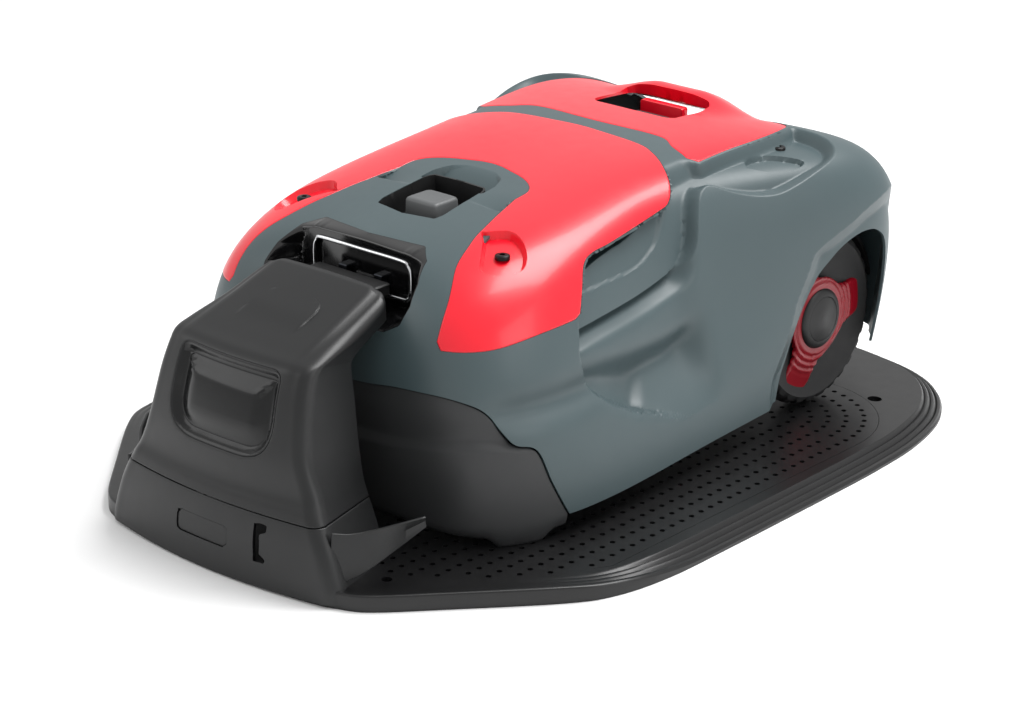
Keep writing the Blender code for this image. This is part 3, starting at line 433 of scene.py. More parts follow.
KNOB_GREY = plastic("knob_plastic", (84, 86, 87), rough=0.45, mottle=0.04, stipple=True)
CHASSIS_GREY = plastic("chassis_plastic", (44, 46, 48), rough=0.55, mottle=0.08, bump=0.00006, stipple=True)
RUBBER = plastic("rubber", (17, 17, 18), rough=0.7, mottle=0.1, grain=600.0, bump=0.0001)
RIM_RED = plastic("rim_plastic", (128, 8, 24), rough=0.30, mottle=0.04, grain=400.0, bump=0.000008,
                  coat=0.12, specular=0.3)
BATTERY_BLUE = plastic("battery_wrap", (34, 62, 120), rough=0.4, mottle=0.06)
BOARD_GREEN = plastic("board_green", (24, 82, 52), rough=0.4, mottle=0.12, grain=300.0, bump=0.00008)
LIGHT_WHITE = plastic("light_guide", (226, 230, 232), rough=0.3, mottle=0.02)
GLOSS_BLACK = plastic("gloss_black_plastic", (14, 14, 15), rough=0.16, mottle=0.05, grain=300.0,
                      bump=0.000006, coat=0.4)
SCREW_BLACK = plastic("screw_black", (24, 24, 25), rough=0.35, mottle=0.08, metal=0.6)


def add_piece(mesh, material, body, replaces, sharp):
    """Makes a mesh a piece that rides on a body and stands for the CAD nodes it replaces."""
    mesh.shade_smooth()
    mesh.set_sharp_from_angle(angle=math.radians(sharp))
    piece = bpy.data.objects.new(mesh.name, mesh)
    bpy.context.scene.collection.objects.link(piece)
    mesh.materials.append(material)
    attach(piece, body)
    if replaces:
        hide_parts(*replaces)


def show(name, points, faces, material, body, slot, replaces=(), sharp=35.0):
    """A piece from points and faces that close."""
    mesh = bpy.data.meshes.new(name)
    mesh.from_pydata([tuple(p) for p in points], [], [tuple(int(i) for i in f) for f in faces])
    mesh.validate()
    add_piece(mesh, material, body, replaces, sharp)


# ---- hood ----------------------------------------------------------------------------------------
HOOD_CAGE = np.array((
    ((0, -0.296, 0.040), (0.110, -0.296, 0.040), (0.205, -0.290, 0.040), (0.246, -0.200, 0.040),
     (0.246, -0.080, 0.042), (0.240, 0.030, 0.046), (0.240, 0.130, 0.050), (0.244, 0.250, 0.060),
     (0.240, 0.372, 0.075), (0.120, 0.388, 0.075), (0, 0.388, 0.075)),
    ((0, -0.300, 0.100), (0.110, -0.300, 0.100), (0.205, -0.294, 0.100), (0.246, -0.200, 0.095),
     (0.243, -0.080, 0.090), (0.236, 0.030, 0.095), (0.238, 0.130, 0.100), (0.246, 0.250, 0.110),
     (0.248, 0.380, 0.120), (0.120, 0.390, 0.120), (0, 0.390, 0.120)),
    ((0, -0.298, 0.165), (0.105, -0.298, 0.165), (0.198, -0.288, 0.165), (0.230, -0.200, 0.165),
     (0.222, -0.080, 0.160), (0.204, 0.030, 0.165), (0.222, 0.130, 0.170), (0.256, 0.250, 0.180),
     (0.256, 0.382, 0.180), (0.120, 0.385, 0.180), (0, 0.385, 0.180)),
    ((0, -0.292, 0.222), (0.090, -0.292, 0.222), (0.180, -0.286, 0.225), (0.214, -0.190, 0.230),
     (0.208, -0.080, 0.230), (0.192, 0.030, 0.238), (0.210, 0.130, 0.248), (0.257, 0.250, 0.252),
     (0.254, 0.378, 0.246), (0.120, 0.380, 0.235), (0, 0.380, 0.235)),
    ((0, -0.270, 0.262), (0.080, -0.270, 0.262), (0.152, -0.262, 0.264), (0.188, -0.180, 0.278),
     (0.186, -0.070, 0.292), (0.175, 0.030, 0.303), (0.192, 0.130, 0.308), (0.240, 0.245, 0.312),
     (0.232, 0.350, 0.300), (0.110, 0.356, 0.275), (0, 0.356, 0.272)),
    ((0, -0.240, 0.286), (0.060, -0.240, 0.286), (0.105, -0.228, 0.288), (0.138, -0.172, 0.304),
     (0.138, -0.060, 0.319), (0.134, 0.040, 0.330), (0.140, 0.130, 0.330), (0.172, 0.230, 0.328),
     (0.158, 0.300, 0.320), (0.080, 0.306, 0.308), (0, 0.306, 0.308)),
    ((0, -0.222, 0.294), (0, -0.205, 0.297), (0, -0.185, 0.301), (0, -0.130, 0.309),
     (0, -0.050, 0.320), (0, 0.040, 0.329), (0, 0.130, 0.332), (0, 0.195, 0.332),
     (0, 0.240, 0.328), (0, 0.265, 0.322), (0, 0.280, 0.317)),
))
AROUND = 28  # grid steps per cage span
UP = 28
CORNER_REACH, CORNER_ROUNDS = 0.016, 600  # how much of the grid's last corner is evened out


def relax_corner(points, reach, rounds):
    """Evens out the grid where its last row and last column meet on the mirror plane."""
    near = np.linalg.norm(points - points[-1, -1], axis=2) < reach
    rows, columns = np.where(near)
    first, start = max(rows.min() - 2, 0), max(columns.min() - 2, 0)
    block = points[first:, start:].copy()
    free = near[first:, start:]
    free[0] = False
    free[:, 0] = False
    for _ in range(rounds):
        wide = np.pad(block, ((0, 1), (0, 1), (0, 0)))
        wide[-1, :-1] = block[-2] * MIRROR
        wide[:-1, -1] = block[:, -2] * MIRROR
        mean = (wide[:-2, 1:-1] + wide[2:, 1:-1] + wide[1:-1, :-2] + wide[1:-1, 2:]) / 4
        block[1:, 1:] = np.where(free[1:, 1:, None], mean, block[1:, 1:])
        block[-1, :, 0] = 0.0
        block[:, -1, 0] = 0.0
    points[first:, start:] = block
    return points


def hood_grid():
    """Points of the right half of the hood's base form, and the chart (around, up) of each."""
    rows = spline_rows(HOOD_CAGE, UP, 2 * HOOD_CAGE[0] - HOOD_CAGE[1], HOOD_CAGE[-2] * MIRROR)
    turned = np.swapaxes(rows, 0, 1)
    points = spline_rows(turned, AROUND, turned[1] * MIRROR, turned[-2] * MIRROR)
    points[..., 0] = np.where(np.abs(points[..., 0]) < 1e-9, 0.0, points[..., 0])
    points = relax_corner(points, CORNER_REACH, CORNER_ROUNDS)
    steps = (np.arange(points.shape[0]) / AROUND, np.arange(points.shape[1]) / UP)
    around, up = np.meshgrid(*steps, indexing="ij")
    return points, around, up


# Lines on the hood in the chart (around, up). Around runs from the nose along the right side to the rear,
# and up from the lower edge to the mirror plane.
FENDER_REAR = ((3.60, 4.3), (3.67, 3.92), (3.50, 3.23), (3.45, 2.75), (3.42, 2.38), (3.50, 2.08),
               (3.62, 1.82), (3.80, 1.60), (4.1, 1.35))
PAD_EDGE = ((2.6, 2.72), (3.45, 2.75), (3.92, 2.77), (4.55, 2.77), (4.97, 2.83), (5.20, 2.92),
            (5.35, 3.15), (5.45, 3.60), (5.55, 3.92), (5.70, 4.05), (5.92, 3.80), (6.15, 3.62),
            (6.38, 3.56), (6.60, 3.65), (6.88, 3.83), (7.17, 4.02), (7.38, 4.20), (7.60, 4.45),
            (7.78, 4.70), (7.9, 5.0), (8.0, 5.6))
GRIP_LOW = ((3.2, 3.45), (3.60, 3.52), (3.85, 3.67), (4.20, 3.73), (4.47, 3.74), (4.75, 3.86),
            (4.95, 4.08), (5.05, 4.4))
FOLD = ((3.2, 3.35), (3.52, 3.33), (4.00, 3.27), (4.55, 3.20), (4.83, 3.33), (4.97, 3.55), (5.22, 4.30),
        (5.4, 4.9))
VALLEY = ((5.72, 2.65), (5.58, 2.40), (5.40, 2.10), (5.15, 1.85), (4.8, 1.75), (4.3, 1.78), (3.9, 1.85),
          (3.6, 1.95))
SKIRT_TOP = ((2.0, 1.25), (2.73, 1.27), (3.00, 1.30), (3.20, 1.36), (3.38, 1.35), (3.52, 1.23), (3.62, 1.02),
             (3.75, 0.80), (3.88, 0.71), (4.10, 0.66), (4.80, 0.78), (5.85, 0.88), (6.12, 0.97),
             (6.6, 1.15))
ARCH_FACE = ((6.05, -0.4), (6.08, 0.50), (6.20, 0.93), (6.38, 1.43), (6.47, 1.82), (6.60, 2.20), (6.67, 2.45),
             (6.78, 2.58), (7.08, 2.80), (7.38, 3.02), (7.75, 3.15), (8.05, 3.05), (8.25, 2.6),
             (8.32, 1.5), (8.32, -0.4))
ARCH_HOLE = ((6.22, -0.4), (6.30, 0.40), (6.40, 0.85), (6.50, 1.25), (6.64, 1.70), (6.78, 2.05), (6.90, 2.22),
             (7.05, 2.40), (7.22, 2.52), (7.38, 2.56), (7.55, 2.50), (7.72, 2.25), (7.80, 1.7),
             (7.84, 0.8), (7.84, -0.4))
BUMPER_TOP = ((-0.5, 2.0), (0.45, 2.02), (1.05, 2.13), (1.62, 2.15), (2.00, 2.05), (2.20, 1.88), (2.35, 1.60),
              (2.48, 1.40), (2.72, 1.27), (2.86, 0.70), (3.05, 0.0), (3.2, -0.5))


# The covers' outlines on the chart, as stretches that meet at corners. Row 6 is the mirror plane.
FRONT_COVER = (
    ((4.17, 6.6), (4.17, 6.0), (4.12, 5.80), (4.02, 5.55), (3.86, 5.40), (3.60, 5.38)),
    ((3.60, 5.38), (3.08, 5.25), (2.58, 5.05), (2.10, 4.62), (1.82, 3.75), (1.66, 3.10)),
    ((1.70, 2.94), (2.08, 2.92), (2.42, 2.92), (2.92, 2.98), (3.40, 3.00)),
    ((3.47, 3.06), (3.55, 3.40), (3.65, 3.77), (3.80, 3.89), (4.10, 3.88), (4.60, 3.90), (4.98, 3.95),
     (5.10, 4.02), (5.20, 4.22), (5.35, 4.67), (5.53, 5.05), (5.65, 5.30), (5.72, 5.75), (5.75, 6.0),
     (5.75, 6.6)),
)
REAR_COVER = (
    ((6.03, 6.6), (6.03, 5.95), (6.05, 5.38), (5.87, 5.10), (5.76, 4.78)),
    ((5.82, 4.62), (6.50, 4.80), (7.3, 4.93), (8.0, 4.95)),
    ((8.2, 4.98), (8.7, 5.04), (9.3, 5.10), (10.0, 5.12), (10.7, 5.12)),
    ((10.7, 5.13), (10.7, 6.6)),
)
FRONT_POCKET = ((2.85, 5.15), (3.15, 4.88), (2.92, 4.20), (2.45, 4.47))
REAR_POCKET = ((6.38, 4.47), (6.50, 4.24), (6.67, 4.12), (6.83, 4.15), (7.03, 4.35), (6.83, 4.68), (6.5, 4.66))
WELL = ((0.0, -0.176), (0.040, -0.170), (0.043, -0.160), (0.040, -0.100), (0.036, -0.090), (0.0, -0.088))
PORT = ((0.0, 0.292), (0.070, 0.291), (0.088, 0.284), (0.099, 0.268), (0.103, 0.250), (0.098, 0.232),
        (0.080, 0.222), (0.0, 0.220))
HANDLE_HOLE = ((0.0, 0.189), (0.050, 0.190), (0.058, 0.197), (0.059, 0.256), (0.052, 0.264), (0.0, 0.266))
ARCH_LINE = ((0.0, 0.277), (0.056, 0.277), (0.0645, 0.2735), (0.068, 0.265), (0.068, 0.246), (0.064, 0.2385),
             (0.056, 0.236), (0.0, 0.236))
PORT_PLANE_Y = -0.2345
NOSE_Y = -0.15  # the charge port lies in front of this
BAY_HALF, BAY_FLOOR, BAY_FRONT = 0.0885, 0.232, 0.262  # the hood's opening under the handle
OUTSIDE = -0.1  # a field's value where its outline plays no part
CHART_SIZES = (5, 80)  # least and most chart steps per metre

# Depths and widths of the hood's relief, in metres.
SHELF_DEPTH, SHELF_RISE = 0.013, 0.008
DENT_DEPTH, DENT_LEAST, DENT_ROUND = 0.023, 0.005, 0.014
FLARE_SLOPE = 0.35
BAND_DEPTH, FOLD_STEP, GRIP_DEPTH = 0.0145, 0.003, 0.015
GROOVE_DEPTH, GROOVE_Z, GROOVE_WIDTH = 0.009, 0.157, 0.016
FRONT_POCKET_DEPTH, REAR_POCKET_DEPTH = 0.0085, 0.005
CHAMFER_SLOPE, CHAMFER_WIDTH = 0.55, 0.018
SLOPE_DEPTH = 0.018
CORNER_SWELL, CORNER_AT, CORNER_WIDTH = 0.0125, 8.2, 0.85  # the last two in chart steps
HANDLE_RISE = 0.0205
HOOD_WALL = 0.003
GRIP_LIP = 0.0065  # how much thicker the front cover is over the grip recess
RECESS = 0.0035  # how deep the shell drops under a cover
UNDER_COVER = 0.010  # how far the shell goes on under a cover
COVER_EDGE = 0.0015
CHART_EDGES = (
    ("pad", 0.0), ("fender", 0.0), ("grip", 0.0), ("skirt", 0.0), ("face", 0.0), ("fender", -0.004, 0.0015),
    ("pad", 0.0015, 0.008), ("grip", 0.005), ("rear_cover", -0.0008, -0.004, -0.008, -0.012),
    ("front_cover", -0.001, -0.002), ("rear_pocket", -0.001, 0.002), ("slope", -0.0006, 0.0025),
    ("front_pocket", -0.0010, 0.0, 0.0022),
)
SLOPE = ((0.0, -0.052), (0.020, -0.054), (0.036, -0.064), (0.043, -0.082), (0.043, -0.102), (0.0, -0.102))


def chart_line(outline, around, up, points):
    """Distance along the surface to a line of the chart, positive on its left."""
    return on_surface(curve_distance(around, up, smooth_line(outline, 6)), points, *CHART_SIZES)


def lines_of(points, around, up):
    """Distance along the surface to each line of the chart."""
    x, y, z = np.moveaxis(points, -1, 0)

    def line(outline):
        return chart_line(outline, around, up, points)

    def region(stretches):
        outline = np.vstack([smooth_line(stretch, 6) for stretch in stretches])
        return on_surface(loop_distance(around, up, outline), points, *CHART_SIZES)

    def plan(outline, u, v):
        loop = np.vstack([np.array(outline), np.array(outline)[::-1] * (-1.0, 1.0)])
        return on_surface(loop_distance(u, v, loop), points)

    return {
        "fender": line(FENDER_REAR),
        "pad": line(PAD_EDGE),
        "grip": line(GRIP_LOW),
        "fold": line(FOLD),
        "valley": line(VALLEY),
        "skirt": line(SKIRT_TOP),
        "face": line(ARCH_FACE),
        "arch": line(ARCH_HOLE),
        "bumper": line(BUMPER_TOP),
        "front_cover": region(FRONT_COVER),
        "rear_cover": region(REAR_COVER),
        "front_pocket": region([FRONT_POCKET + FRONT_POCKET[:1]]),
        "rear_pocket": region([REAR_POCKET + REAR_POCKET[:1]]),
        "well": plan(WELL, x, y),
        "port": np.where(y < NOSE_Y, plan(PORT, x, z), OUTSIDE),
        "port_arch": plan(ARCH_LINE, x, z),
        "slope": plan(SLOPE, x, y),
        "handle": plan(HANDLE_HOLE, x, y),
        "bay": np.minimum(np.minimum(BAY_HALF - x, z - BAY_FLOOR), y - BAY_FRONT),
        "around": around,
        "up": up,
    }


def hood_relief(skin):
    """How far the slate surface lies outside the base form, without the covers' recess."""
    f = skin.fields
    around, up = f["around"], f["up"]
    x, y, z = skin.p.T
    # The waist below the pad's edge: a shelf, then a dent that runs out in the flare of the skirt.
    below = np.maximum(-f["pad"], 0)
    rear = ramp(around, 4.98, 5.42)
    shelf = -SHELF_DEPTH + SHELF_RISE * ramp(below, 0.0, 0.024)
    dent = DENT_DEPTH * (1 - ramp(around, 5.30, 5.80)) * (0.45 + 0.55 * ramp(around, 3.4, 4.0))
    hollow = np.where(f["valley"] < 0, np.exp(-(f["valley"] / DENT_ROUND) ** 2), 1.0)
    target = (DENT_LEAST + dent * hollow) * (1 - rear)
    target = np.where(f["valley"] < 0, np.maximum(-shelf * (1 - rear), target), target)
    flare = FLARE_SLOPE * np.maximum(f["skirt"], 0)
    step = SHELF_DEPTH * (1 - rear) * (1 - ramp(below, 0.0, 0.02))
    low = np.minimum(-smooth_min(flare, target + step, 0.004) * (1 - rear), 0)
    # The band over it, with its fold and the grip recess under the front cover.
    band = -BAND_DEPTH - FOLD_STEP * ramp(f["fold"], -0.002, 0.002)
    band = band - GRIP_DEPTH * ramp(f["grip"], -0.0005, 0.004)
    wall = np.where(around > 5.6, 0.008, 0.012)
    side = low + (band - low) * ramp(f["pad"], 0.0, wall * rear + 0.0015)
    # The groove in front of the wheel-side fender, and what joins them.
    groove = np.exp(-((z - GROOVE_Z) / GROOVE_WIDTH) ** 2)
    front = -GROOVE_DEPTH * groove * ramp(around, 1.9, 2.6)
    relief = front + (side - front) * ramp(f["fender"], -0.004, 0.0015)
    relief = relief - REAR_POCKET_DEPTH * ramp(f["rear_pocket"], -0.001, 0.002)
    keep = 1 - ramp(up, 5.35, 5.75) * (around < 6.2)
    top = ramp(z, 0.295, 0.315) * ramp(np.abs(x), 0.165, 0.14)
    beside = ramp(f["rear_cover"], 0.0008, 0.012) * ramp(f["front_cover"], 0.0, 0.002)
    # The chamfer round the wheel arch, the slope behind the well and the swell of the rear corner.
    chamfer = -CHAMFER_SLOPE * np.clip(-f["face"], 0, CHAMFER_WIDTH)
    slope = -SLOPE_DEPTH * ramp(-y, 0.050, 0.100) * ramp(f["slope"], -0.0006, 0.0025)
    across = np.exp(-((around - CORNER_AT) / CORNER_WIDTH) ** 2)
    corner = CORNER_SWELL * across * (1 - ramp(up, 2.6, 5.6))
    return (relief * keep * (1 - top)) * beside + chamfer + slope + corner


def handle_rise(x, y):
    """How far the rear cover rises over the base form where it arches up as the handle."""
    return HANDLE_RISE * ramp(y, 0.232, 0.285) * (1 - ramp(np.abs(x), 0.025, 0.105))


def hood_shell(base):
    """The slate shell, which drops a little under the covers."""
    shell = base.copy()
    shell.cut("bumper", 0.0006)
    shell.cut("arch", 0.0)
    for name in ("well", "port", "handle", "bay"):
        shell.cut_away(name, 0.0)
    for name in ("front_cover", "rear_cover"):
        shell.cut_away(name, -UNDER_COVER, -0.0006, 0.0)
    relief = hood_relief(shell)
    for name in ("front_cover", "rear_cover"):
        relief -= RECESS * ramp(-shell.fields[name], 0.0, 0.0006)
    around, up = shell.fields["around"], shell.fields["up"]
    waist = ramp(around, 3.5, 3.8) * (1 - ramp(around, 5.4, 5.9)) * (1 - ramp(up, 2.3, 2.7))
    relief = relief + (shell.evened(relief, 14) - relief) * waist
    shell.push(relief).renormal()
    shell.whole()
    show("hood_shell_skin", *shell.body(HOOD_WALL), SLATE, "hood", "hood_slate", ("hood_shell",))


def hood_cover(base, name, openings):
    """A red cover with a rounded edge. The rear one rises as the carrying handle."""
    skin = base.copy()
    skin.cut(name, 0.0, 0.15 * COVER_EDGE, 0.5 * COVER_EDGE, COVER_EDGE)
    for opening in openings:
        skin.cut_away(opening, 0.0)
    f = skin.fields
    thickness = np.full(len(skin.p), HOOD_WALL)
    sunk = 0.0
    if name == "front_cover":
        sunk = -FRONT_POCKET_DEPTH * ramp(f["front_pocket"], -0.0010, 0.0022)
        over_grip = ramp(f["around"], 3.45, 3.75) * (1 - ramp(f["around"], 5.1, 5.4))
        thickness += GRIP_LIP * over_grip * (1 - ramp(f[name], 0.010, 0.020))
    skin.push(0.0004 - fillet(f[name], COVER_EDGE) + sunk).renormal()
    if name == "rear_cover":
        rise = handle_rise(skin.p[:, 0], skin.p[:, 1])
        skin.p[:, 2] += rise
        skin.renormal()
        thickness += 0.80 * rise
    f["thickness"] = thickness
    skin.whole()
    show(name + "_skin", *skin.body(skin.fields["thickness"]), RED, "hood", "cover_red", (name,))


def hood_parts():
    points, around, up = hood_grid()
    base = grid_skin(points, lines_of(points, around, up))
    base.f = base.f[np.abs(base.p[base.f, 0]).max(1) > 1e-6]
    base.renormal()
    for name, *levels in CHART_EDGES:
        base.split(name, *levels)
    hood_shell(base)
    hood_cover(base, "front_cover", ("well", "port"))
    hood_cover(base, "rear_cover", ("handle",))
    make_bumper(points, around, up)
    make_port(base)
    make_well(base)


# How far in and down each row lies that goes on below the hood's form.
BUMPER_CURL = ((0.024, 0.0165), (0.014, 0.0163), (0.007, 0.0150), (0.003, 0.0115), (0.001, 0.0070),
               (0.0002, 0.0030))
BUMPER_LEDGE = ((-0.5, 1.0), (0.53, 1.05), (0.90, 1.10), (1.30, 1.20), (1.95, 1.33), (2.70, 1.27), (3.2, 1.25))


def make_bumper(points, around, up):
    """The grey bumper, which goes on below the hood's form and curls in."""
    out = np.gradient(points, axis=1)[:, 0]
    side = np.gradient(points, axis=0)[:, 0]
    inward = np.cross(out, side)
    inward[:, 2] = 0
    inward /= np.maximum(np.linalg.norm(inward, axis=1), 1e-9)[:, None]
    inward *= np.sign((inward * (np.array([0.0, 0.05, 0.0]) - points[:, 0])).sum(1))[:, None]
    low = points[:, 0]
    foot = 1 + 0.75 * ramp(around[:, 0], 2.05, 2.30) * (1 - ramp(around[:, 0], 2.72, 2.95))
    extra, extra_up = [], []
    for tuck, drop in BUMPER_CURL:
        row = low + inward * tuck
        row[:, 2] -= drop * foot
        extra.append(row)
        extra_up.append(-drop / 0.06)
    grid = np.concatenate([np.stack(extra, 1), points], axis=1)
    rows = len(BUMPER_CURL)
    grid_around = np.concatenate([np.repeat(around[:, :1], rows, 1), around], axis=1)
    grid_up = np.concatenate([np.repeat(np.array(extra_up)[None], len(around), 0), up], axis=1)
    keep = slice(0, 4 * AROUND)
    grid, grid_around, grid_up = grid[keep], grid_around[keep], grid_up[keep]

    def line(outline):
        return chart_line(outline, grid_around, grid_up, grid)

    top = line(BUMPER_TOP)
    top[:, :rows] = top[:, rows:rows + 1]
    skin = grid_skin(grid, {"top": -top, "ledge": line(BUMPER_LEDGE), "around": grid_around})
    skin.split("ledge", -0.003, 0.0, 0.010)
    skin.cut("top", 0.0006, 0.0009, 0.0014, 0.0021)
    ledge = skin.fields["ledge"]
    swell = -0.0055 * ramp(ledge, -0.001, 0.012) * (1 - 0.6 * ramp(ledge, 0.012, 0.045))
    skin.push(-0.0012 - fillet(skin.fields["top"] - 0.0006, 0.0015) + swell).renormal()
    skin.whole()
    show("front_bumper_skin", *skin.body(HOOD_WALL), BUMPER_GREY, "hood", "bumper_grey", ("front_bumper",), 40)


def make_port(base):
    """The glossy black funnel round the contacts and the bright frame on its back wall."""
    skin = base.copy()
    skin.cut("port", 0.0002, 0.0008, 0.0025)
    skin.split("port_arch", -0.0020, 0.0, 0.0008)
    outer, inner = skin.fields["port"], -skin.fields["port_arch"]
    share = np.where(inner <= 0, 1.0, outer / np.maximum(outer + inner, 1e-6))
    sunk = PORT_PLANE_Y + 0.004 * ramp(-inner, 0.0, 0.0008)
    deep = ramp(share, 0.0, 0.45)
    skin.p[:, 1] += (sunk - skin.p[:, 1]) * deep
    skin.renormal()
    skin.whole()
    show("charge_port_funnel", *skin.body(0.0025), GLOSS_BLACK, "hood", "deep_black", ("charge_port",), 40)

    frame_line = smooth_outline(mirrored(ARCH_LINE), 5)
    sections = []
    for (x0, z0), (x1, z1) in zip(frame_line, np.roll(frame_line, -1, 0)):
        out = np.array([z1 - z0, 0.0, -(x1 - x0)])
        out /= np.linalg.norm(out)
        here = np.array([x0, PORT_PLANE_Y - 0.0012, z0])
        sections.append([
            here + out * 0.0021 * math.cos(a) + np.array([0, 0.0014 * math.sin(a), 0]) for a in ring_angles(8)
        ])

    def build(bm):
        put(bm, *sweep(sections, closed=True))
    solid("port_frame", build, CHROME, "hood", ("port_arch",), sharp=60)


def smooth_outline(points, steps):
    """A closed Catmull-Rom outline through the points."""
    pts = [points[-1], *points, points[0], points[1]]
    return smooth_line(np.array(pts), steps)[steps:-steps - 1]


def make_well(base):
    """The black well round the height knob."""
    skin = base.copy()
    skin.cut("well", 0.0002, 0.0012, 0.0024)
    skin.push(-0.026 * ramp(skin.fields["well"], 0.0004, 0.0022) - 0.0006).renormal()
    skin.whole()
    show("nose_well_dish", *skin.body(0.0022), DEEP_BLACK, "hood", "deep_black", ("nose_well",), 40)


KNOB_TOP = 0.3075
KNOB_HALF = (0.0222, 0.0195)


def box_outline(half_x, half_y, radius, steps):
    """A rounded rectangle about the origin."""
    corners = ((half_x, -half_y), (half_x, half_y), (-half_x, half_y), (-half_x, -half_y))
    return rounded([(x, y, radius) for x, y in corners], steps)


def make_knob():
    """The rounded block that turns in the well, on its shaft."""
    low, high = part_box("height_knob")
    top = KNOB_TOP
    centre_y = (low.y + high.y) / 2 - 0.001

    def build(bm):
        sections = []
        for z, grow in ((0.2868, -0.0010), (0.2880, 0.0), (top - 0.0035, -0.0004), (top - 0.0012, -0.0014),
                        (top, -0.0034), (top - 0.0003, -0.0070), (top - 0.0009, -0.0110)):
            loop = box_outline(KNOB_HALF[0] + grow, KNOB_HALF[1] + grow, 0.006, 5)
            sections.append([(x, centre_y + y, z) for x, y in loop])
        put(bm, *sweep(sections))
        shaft = ((0.0, 0.116), (0.0050, 0.116), (0.0050, 0.2860), (0.0, 0.2860))
        put_turned(bm, shaft, (0, centre_y, 0), "Z", 24)
    solid("height_knob_block", build, KNOB_GREY, "height_knob", ("height_knob",), sharp=40)


# ---- wheels --------------------------------------------------------------------------------------
WHEEL_CENTRE = (0.260, 0.118)  # y and z of the axle
LOBE_ANGLES = (5, 125, 245)
HUB_FACE_X = 0.2165
HUB_ROUND = 0.0035
TREAD_STEPS = 240
CAP_X = 0.2135
CAP_PROFILE = ((0.0, 0.0090), (0.0060, 0.0090), (0.0070, 0.0086), (0.0140, 0.0088), (0.0150, 0.0082),
               (0.0240, 0.0080), (0.0252, 0.0072), (0.0262, 0.0080), (0.0300, 0.0072), (0.0330, 0.0050),
               (0.0345, 0.0020), (0.0340, -0.0040), (0.0, -0.0040))
TYRE_PROFILE = ((0.030, 0.2060), (0.052, 0.2070), (0.080, 0.2105), (0.0900, 0.2150), (0.0955, 0.2130),
                (0.0985, 0.2080), (0.1000, 0.2020), (0.1000, 0.1960), (0.1000, 0.1900), (0.0985, 0.1820),
                (0.0940, 0.1765), (0.0800, 0.1750), (0.050, 0.1760), (0.030, 0.1770))
LUG_DEPTH, LUG_SLANT, LUG_STEPS = 0.0022, 260, 8
LINER_OUTER, LINER_INNER = 0.1085, 0.1050
LINER_X = (0.166, 0.208)


def hub_field(y, z):
    """Positive inside the hub's three-lobed outline, in the wheel's own plane."""
    field = 0.046 - np.hypot(y, z)
    for degrees in LOBE_ANGLES:
        a = math.radians(degrees)
        along = np.clip(y * math.cos(a) + z * math.sin(a), 0, 0.067)
        gap = np.hypot(y - along * math.cos(a), z - along * math.sin(a))
        field = smooth_max(field, 0.0215 + 0.04 * (along - 0.03) - gap, 0.016)
    return field


def make_wheels():
    """The three-lobed hub with its rings, the cap and the tyre, on both sides."""
    cy, cz = WHEEL_CENTRE
    steps = np.linspace(-0.094, 0.094, 95)
    y, z = np.meshgrid(steps, steps, indexing="ij")
    radius = np.hypot(y, z)
    face = HUB_FACE_X - 0.0065 * ramp(radius, 0.035, 0.088)
    ridges = 0.0009 * np.cos((radius - 0.0395) / 0.0072 * 2 * math.pi)
    face = face + ridges * ramp(radius, 0.036, 0.040) * (1 - ramp(radius, 0.058, 0.072))
    grid = np.stack([face, y + cy, z + cz], -1)
    hub = grid_skin(grid, {"hub": hub_field(y, z)})
    hub.cut("hub", 0.0, 0.0003, 0.0010, 0.0020, HUB_ROUND)
    hub.push(-fillet(hub.fields["hub"], HUB_ROUND)).renormal()
    points, faces = hub.body(0.006)
    tyre_points, tyre_faces = tyre_mesh(cy, cz)
    for name, side in SIDES:
        flip = np.array([side, 1, 1])
        wheel = f"drive_wheel_{name}"
        show(f"wheel_hub_{name}", points * flip, faces[:, ::side], RIM_RED, wheel, "rim_red",
             (f"wheel_rim_{name}",), 40)
        show(f"tyre_tread_{name}", tyre_points * flip, tyre_faces[:, ::side], RUBBER, wheel, "tyre_black",
             (f"tyre_{name}",), 30)

        def build(bm, side=side):
            profile = [(r, side * (CAP_X + along)) for r, along in CAP_PROFILE]
            put_turned(bm, profile, (0, cy, cz), "X", 64)
        solid(f"wheel_cap_disc_{name}", build, DEEP_BLACK, wheel, (f"wheel_cap_{name}",), 40)


def tyre_mesh(cy, cz):
    """A tyre with a dished outer face and slanted lugs round the tread."""
    sections = []
    for step in range(TREAD_STEPS):
        ring = []
        for radius, x in TYRE_PROFILE:
            angle = 2 * math.pi * step / TREAD_STEPS
            if radius > 0.094:
                phase = (step + (x - 0.196) * LUG_SLANT) % LUG_STEPS
                radius -= LUG_DEPTH if phase < 2.5 else 0.0
            ring.append((x, cy + radius * math.cos(angle), cz + radius * math.sin(angle)))
        sections.append(ring)
    points, faces = sweep(sections, closed=True)
    triangles = []
    for a, b, c, d in faces:
        triangles.extend(((a, b, c), (a, c, d)))
    triangles = np.array(triangles)
    a, b, c = (points[triangles[:, k]] for k in range(3))
    if np.einsum("ij,ij->i", a, np.cross(b, c)).sum() < 0:
        triangles = triangles[:, ::-1]
    return points, triangles


# ---- small pieces --------------------------------------------------------------------------------
BUTTON_HALF = 0.0300
CATCH_TOP, BAR_TOP = 0.3165, 0.3245
RIB_HALF = 0.0014
SCREW_SUNK = {"front": 0.0085, "rear": 0.0150}  # how far each head lies under its CAD node's top
ROUND, HEXAGON = 40, 6


